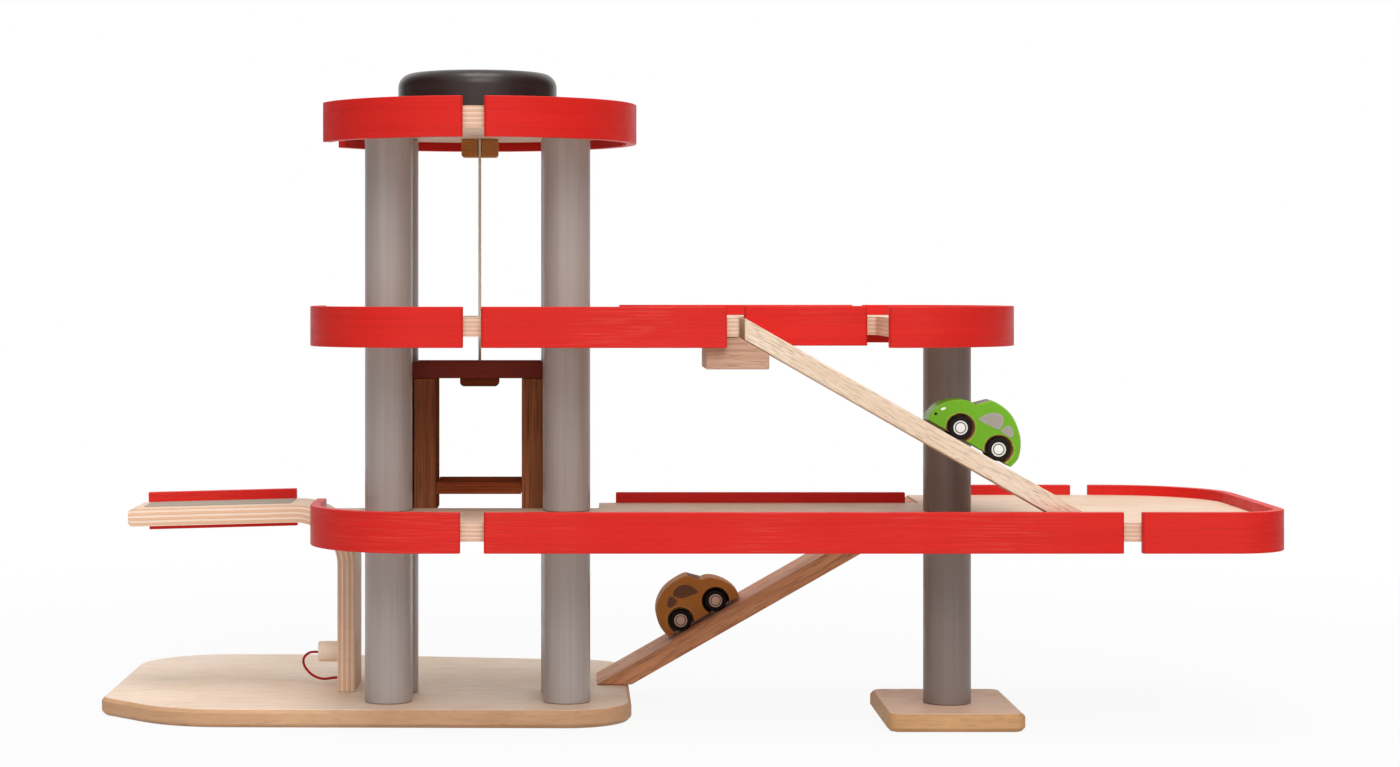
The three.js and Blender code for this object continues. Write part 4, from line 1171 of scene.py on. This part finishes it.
class GARAGE_OT_winding(bpy.types.Operator):
    """Winding knob with its axle, and the string's guide and feed"""

    bl_idname = "garage.winding"
    bl_label = "Winding gear"

    def execute(self, context):
        self.turn_knob()
        rounded_piece("string_guide", GUIDE_ROUNDING, ["Guide wood"], "tan_wood")
        self.lead_string()
        axle = frame["nodes"]["winding_axle"]
        axle.data.materials.clear()
        axle.data.materials.append(material("Axle steel"))
        return {"FINISHED"}

    def turn_knob(self):
        """The knob with the spool inside it, hollow between them, and the axle's bore."""
        low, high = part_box("winding_knob")
        axle_low, axle_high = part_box("winding_axle")
        deck_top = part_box("top_deck")[1].z
        radius = (high.x - low.x) / 2
        rounding = sizes().knob_rounding
        bore = (axle_high.x - axle_low.x) / 2 + AXLE_PLAY
        bore_top = axle_high.z + AXLE_PLAY
        crown = deck_top + sizes().knob_height
        ceiling = crown - KNOB_ROOF
        inner = radius - KNOB_WALL
        lip_height = deck_top + KNOB_GAP + KNOB_LIP
        flange = deck_top + SPOOL_GAP
        profile = [
            (0, bore_top), (bore, bore_top), (bore, flange), (FLANGE_RADIUS, flange),
            (FLANGE_RADIUS, flange + FLANGE_EDGE), (SPOOL_RADIUS, flange + FLANGE_THICKNESS),
            (SPOOL_RADIUS, ceiling), (inner, ceiling),
            *corner_arc((inner + KNOB_LIP, lip_height), KNOB_LIP, 180, 270, 4),
            *corner_arc((radius - KNOB_LIP, lip_height), KNOB_LIP, 270, 360, 4),
            *corner_arc((radius - rounding, crown - rounding), rounding, 0, 90, 20),
            (0.6 * (radius - rounding), crown), (0, crown),
        ]
        middle = Matrix.Translation(Vector((*middle_of("winding_knob")[:2], 0)))
        made = lathe("Winding_knob", profile, 128, ["Knob paint"], middle)
        settle(made, "winding", "black_paint", "winding_knob")

    def lead_string(self):
        """The string from the spool over the deck's hole and down to its guide."""
        low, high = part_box("string_feed")
        size = sizes()
        radius = size.string_diameter / 2
        x, y, top = middle_of("string_feed")[0], high.y - radius, high.z - radius
        bend, under = y - STRING_BEND, top - STRING_BEND
        level, round_it, down = FEED_STEPS
        path = [Vector((x, low.y + (bend - low.y) * step / level, top)) for step in range(level)]
        for step in range(round_it + 1):
            angle = QUARTER * step / round_it
            path.append(Vector((
                x, bend + STRING_BEND * math.sin(angle), under + STRING_BEND * math.cos(angle))))
        for step in range(1, down + 1):
            path.append(Vector((x, y, under - (under - low.z) * step / down)))
        made = string_along("String_feed", path, radius, size.string_lay, "Lift string")
        settle(made, "garage", "lift_cord", "string_feed")


# A car in its own frame: x from the front axle towards the tail, z up from the road, in mm
CAR_SHAPES = {
    "upper_car": {
        "hood": [(-20.6, 1.6), (-21.1, 6.3), (-19.2, 13), (-16.4, 17.2), (-12.9, 20.6), (-9, 23.1),
                 (-5.4, 24.6), (-1.6, 25.2), (1.3, 25.1)],
        "roof": [(8.8, 32.5), (14.2, 32.8), (20.5, 31.9), (25.5, 30), (29.3, 27.5), (33.4, 24),
                 (36.9, 20.1), (39.5, 15.6), (41.3, 10.7), (41.6, 7), (40.2, 1.6)],
        "front_pane": [(7.3, 17.7), (9.2, 22.2), (12.4, 25.6), (16.2, 27.4), (19.4, 27.3),
                       (21.6, 25.2), (22.4, 22), (21.8, 18.6), (16.5, 17.9)],
        "rear_pane": [(23.2, 18.3), (24.1, 21.6), (25.4, 24), (28.2, 23.6), (30.8, 21.8),
                      (31.7, 19.4), (31, 17.9)],
    },
    "lower_car": {
        "hood": [(-15.9, 1.8), (-16.4, 6.2), (-15.1, 10.6), (-13.2, 14.4), (-10.6, 18), (-8, 20.8),
                 (-5.1, 23), (-2, 24.5), (1.3, 25.1)],
        "roof": [(8.8, 32.5), (13, 33.2), (20.5, 33), (26, 32), (30.5, 30.2), (35, 27.2),
                 (38.4, 23.6), (40.9, 19.2), (42.3, 13.8), (42.4, 8), (41, 1.8)],
        "front_pane": [(7.4, 19.2), (9.6, 24.4), (13, 27.8), (17.4, 29), (21.6, 28),
                       (24, 25.8), (22.4, 22.8), (18.6, 20.2), (9, 18.6)],
        "rear_pane": [(23.4, 20.2), (24.6, 24.4), (26.4, 25.6), (28.6, 24.4), (31, 21.2),
                      (30.6, 19.3), (28.5, 18.6)],
    },
}
CAR_SCREEN = ((1.9, 25.7), (8.2, 31.9))
# Ovals on the green car's sides: centre, width, height, lean and finish
CAR_MARKS = {
    # A small white oval by the nose.
    "headlight": (-15.6, 12.6, 3.4, 1.7, 0.85, "Headlight white"),
    "bumper_dot": (-18.2, 7.4, 2, 1.8, 0.6, "Tyre black"),
}
CAR_LOOKS = {
    "upper_car": ("Green gloss", "Grey pane", "White hub", "green_paint", CAR_MARKS),
    "lower_car": ("Amber gloss", "Brown pane", "Tan hub", "amber_paint", {}),
}
AXLE_PLACES = {"front": 0, "rear": 28}
WHEEL_RADIUS = 7.5
TYRE_ROUNDING = 1.1
TYRE_BACK_ROUNDING = 0.7
TYRE_WIDTH = 5.6
PEG_RADIUS = 1.9
PEG_END = 0.15  # how far from the car's middle a peg ends
ARCHES = ((6.4, 9), (0.35, 9.6))  # depth and radius of each wheel's arch and of its wider lip
ARCH_OVERHANG = 2  # how far the arches' cutters stand out of the car
PEG_HOLE = (6, 2.2)  # how far in from the sides it runs, and its radius
# A wheel's face inwards: radius, depth and the material up to there, of tyre, hub and hub ring
HUB_RINGS = ((4.75, 0, 0), (4.55, 0.25, 0), (3.75, 0.25, 1), (3.65, 0.5, 2), (3.05, 0.5, 2),
             (2.95, 0.3, 2), (1.2, 0.15, 1), (0, 0.12, 1))
PLATE_SINK = 0.05 * MM  # how deep panes and marks are let into the body


class ToyCar:
    """A toy car's own frame, half width, body and finish slot."""

    def __init__(self, name, slot):
        self.name, self.slot = name, slot
        low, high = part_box(f"{name}_body")
        self.half = (high.y - low.y) / 2
        front, rear = (Vector(JOINTS[f"{name}_{end}_axle"]["pos_m"]) for end in AXLE_PLACES)
        along = (rear - front).normalized()
        up = Vector((0, 0, 1))
        up = (up - along * up.dot(along)).normalized()
        turn = Matrix((along, up.cross(along), up)).transposed().to_4x4()
        self.place = Matrix.Translation(front - up * WHEEL_RADIUS * MM) @ turn

    def axle(self, x, y, turn):
        """The place of something turned about an axle, at y across the car."""
        move = Matrix.Translation(Vector((x * MM, y, WHEEL_RADIUS * MM)))
        return self.place @ move @ Matrix.Rotation(turn, 4, "X")

    def add_plate(self, part, low, high, finish):
        """A thin plate between two loops of points."""
        name = f"{self.name.capitalize()}_{part}"
        made = put_in_scene(name, mesh_of(name, prism(low, high)), [finish], self.place)
        settle(smooth(made), self.name, self.slot)


class GARAGE_OT_cars(bpy.types.Operator):
    """Two little cars with their windows and turning wheels"""

    bl_idname = "garage.cars"
    bl_label = "Cars"

    def execute(self, context):
        for name, (gloss, pane, hub, slot, marks) in CAR_LOOKS.items():
            car = ToyCar(name, slot)
            self.carve_body(car, gloss)
            for side, facing in (("left", 1), ("right", -1)):
                self.add_panes(car, side, facing, pane, marks)
            self.add_screen(car, pane)
            for end, x in AXLE_PLACES.items():
                for side, facing in (("left", 1), ("right", -1)):
                    self.turn_wheel(car, end, side, x, facing, hub)
        return {"FINISHED"}

    def carve_body(self, car, gloss):
        """The body's outline across the car, rounded over and cut for the wheels."""
        shape = CAR_SHAPES[car.name]
        hood, roof = (smooth_line([Vector(point) for point in line], 5)
                      for line in (shape["hood"][1:], shape["roof"]))
        outline = [Vector(shape["hood"][0]), *hood, *roof]
        bm = prism(*([(p.x * MM, y, p.y * MM) for p in outline] for y in (-car.half, car.half)))
        rim = [edge for edge in bm.edges if abs(edge.verts[0].co.y - edge.verts[1].co.y) < 0.1 * MM]
        round_over(bm, rim, sizes().car_rounding, 6, clamp=True)
        name = f"{car.name.capitalize()}_body"
        made = put_in_scene(name, mesh_of(name, bm), [gloss, "Arch wood"], car.place)
        self.cut_arches(made, car)
        settle(smooth(made, 40), car.name, car.slot, f"{car.name}_body")

    def cut_arches(self, made, car):
        """Cuts the wheel arches and the holes for the wheels' pegs."""
        tools = []
        for x in AXLE_PLACES.values():
            for facing in (-1, 1):
                for depth, radius in ARCHES:
                    ends = [facing * (car.half + reach * MM) for reach in (-depth, ARCH_OVERHANG)]
                    tools.append(self.arch_tool(car, x, ends, radius * MM))
            inset, radius = PEG_HOLE
            tools.append(self.arch_tool(
                car, x, (inset * MM - car.half, car.half - inset * MM), radius * MM))
        for tool in tools:
            cutter = made.modifiers.new("Wheel arch", "BOOLEAN")
            cutter.operation = "DIFFERENCE"
            cutter.solver = "EXACT"
            cutter.material_mode = "TRANSFER"
            cutter.object = tool
        bpy.context.view_layer.update()
        carved = bpy.data.meshes.new_from_object(
            made.evaluated_get(bpy.context.evaluated_depsgraph_get()))
        made.modifiers.clear()
        made.data = carved
        for tool in tools:
            bpy.data.objects.remove(tool)

    def arch_tool(self, car, x, ends, radius):
        """A cylinder across the car to cut with."""
        low, high = min(ends), max(ends)
        profile = [(0, 0), (radius, 0), (radius, high - low), (0, high - low)]
        return lathe("Arch_tool", profile, 64, ["Arch wood"], car.axle(x, high, QUARTER))

    def oval(self, x, z, wide, tall, lean, steps=20):
        """An oval's outline round a centre, leaning by an angle."""
        points = []
        for step in range(steps):
            angle = math.tau * step / steps
            u, v = wide * math.cos(angle) / 2, tall * math.sin(angle) / 2
            points.append((x + u * math.cos(lean) - v * math.sin(lean),
                           z + u * math.sin(lean) + v * math.cos(lean)))
        return points

    def add_panes(self, car, side, facing, pane, marks):
        """Thin plates on one side of a car: its panes and what marks it has."""
        plates = {}
        for part in ("front_pane", "rear_pane"):
            corners = [Vector(point) for point in CAR_SHAPES[car.name][part]]
            plates[part] = (smooth_line(corners, 4, pull=0.3, closed=True), pane)
        for part, (*shape, finish) in marks.items():
            plates[part] = (self.oval(*shape), finish)
        base = facing * (car.half - PLATE_SINK)
        top = base + facing * (sizes().pane_thickness + PLATE_SINK)
        for part, (outline, finish) in plates.items():
            low, high = ([(x * MM, y, z * MM) for x, z in outline] for y in (base, top))
            car.add_plate(f"{part}_{side}", low, high, finish)

    def add_screen(self, car, pane):
        """The windscreen in the notch between hood and roof."""
        start, end = (Vector((x * MM, z * MM)) for x, z in CAR_SCREEN)
        slope = (end - start).normalized()
        lift = Vector((-slope.y, slope.x)) * (sizes().pane_thickness + PLATE_SINK)
        wide = car.half - sizes().car_rounding
        low, high = (
            [(place.x, across, place.y) for place in (start, end, end + lift, start + lift)]
            for across in (-wide, wide))
        car.add_plate("windscreen", low, high, pane)

    def turn_wheel(self, car, end, side, x, facing, hub):
        """A wheel with its dished hub and its peg."""
        cad_node = f"{car.name}_wheel_{end}_{side}"
        face, inner = car.half, car.half - TYRE_WIDTH * MM
        tyre, peg = WHEEL_RADIUS * MM, PEG_RADIUS * MM
        soft, back = TYRE_ROUNDING * MM, TYRE_BACK_ROUNDING * MM
        rubber = [
            (0, PEG_END * MM), (peg, PEG_END * MM), (peg, inner),
            *corner_arc((tyre - back, inner + back), back, -90, 0, 3),
            *corner_arc((tyre - soft, face - soft), soft, 0, 90, 5),
        ]
        rings = [(radius * MM, face - depth * MM) for radius, depth, _ in HUB_RINGS]
        numbers = [0] * (len(rubber) - 1) + [index for _, _, index in HUB_RINGS]
        made = lathe(
            cad_node.capitalize(), rubber + rings, 48, ["Tyre black", hub, "Hub ring"],
            car.axle(x, 0, -facing * QUARTER), numbers)
        settle(made, f"{car.name}_{end}_wheels", "car_wheel", cad_node)


BUILD_STEPS = (
    GARAGE_OT_stage, GARAGE_OT_pump_cord, GARAGE_OT_base_boards, GARAGE_OT_columns,
    GARAGE_OT_decks, GARAGE_OT_rails, GARAGE_OT_ramps, GARAGE_OT_canopy, GARAGE_OT_lift,
    GARAGE_OT_winding, GARAGE_OT_cars,
)


class GARAGE_PT_panel(bpy.types.Panel):
    """Sizes, finishes and pieces of the toy garage"""

    bl_label = "Toy parking garage"
    bl_idname = "GARAGE_PT_panel"
    bl_space_type = "VIEW_3D"
    bl_region_type = "UI"
    bl_category = "Garage"

    def draw(self, context):
        scene = context.scene
        for settings in (scene.garage_stage, scene.garage_sizes, scene.garage_finish):
            box = self.layout.box()
            for key in settings.__annotations__:
                box.prop(settings, key)
        for step in BUILD_STEPS:
            self.layout.operator(step.bl_idname)


SETTINGS = {"garage_finish": GarageFinish, "garage_sizes": GarageSizes, "garage_stage": GarageStage}


def register():
    for kind in (*SETTINGS.values(), *BUILD_STEPS, GARAGE_PT_panel):
        bpy.utils.register_class(kind)
    for key, kind in SETTINGS.items():
        setattr(bpy.types.Scene, key, bpy.props.PointerProperty(type=kind))


def unregister():
    for key in SETTINGS:
        delattr(bpy.types.Scene, key)
    for kind in reversed((*SETTINGS.values(), *BUILD_STEPS, GARAGE_PT_panel)):
        bpy.utils.unregister_class(kind)


def main():
    register()
    for step in BUILD_STEPS:
        section, name = step.bl_idname.split(".")
        getattr(getattr(bpy.ops, section), name)()


if __name__ == "__main__":
    main()
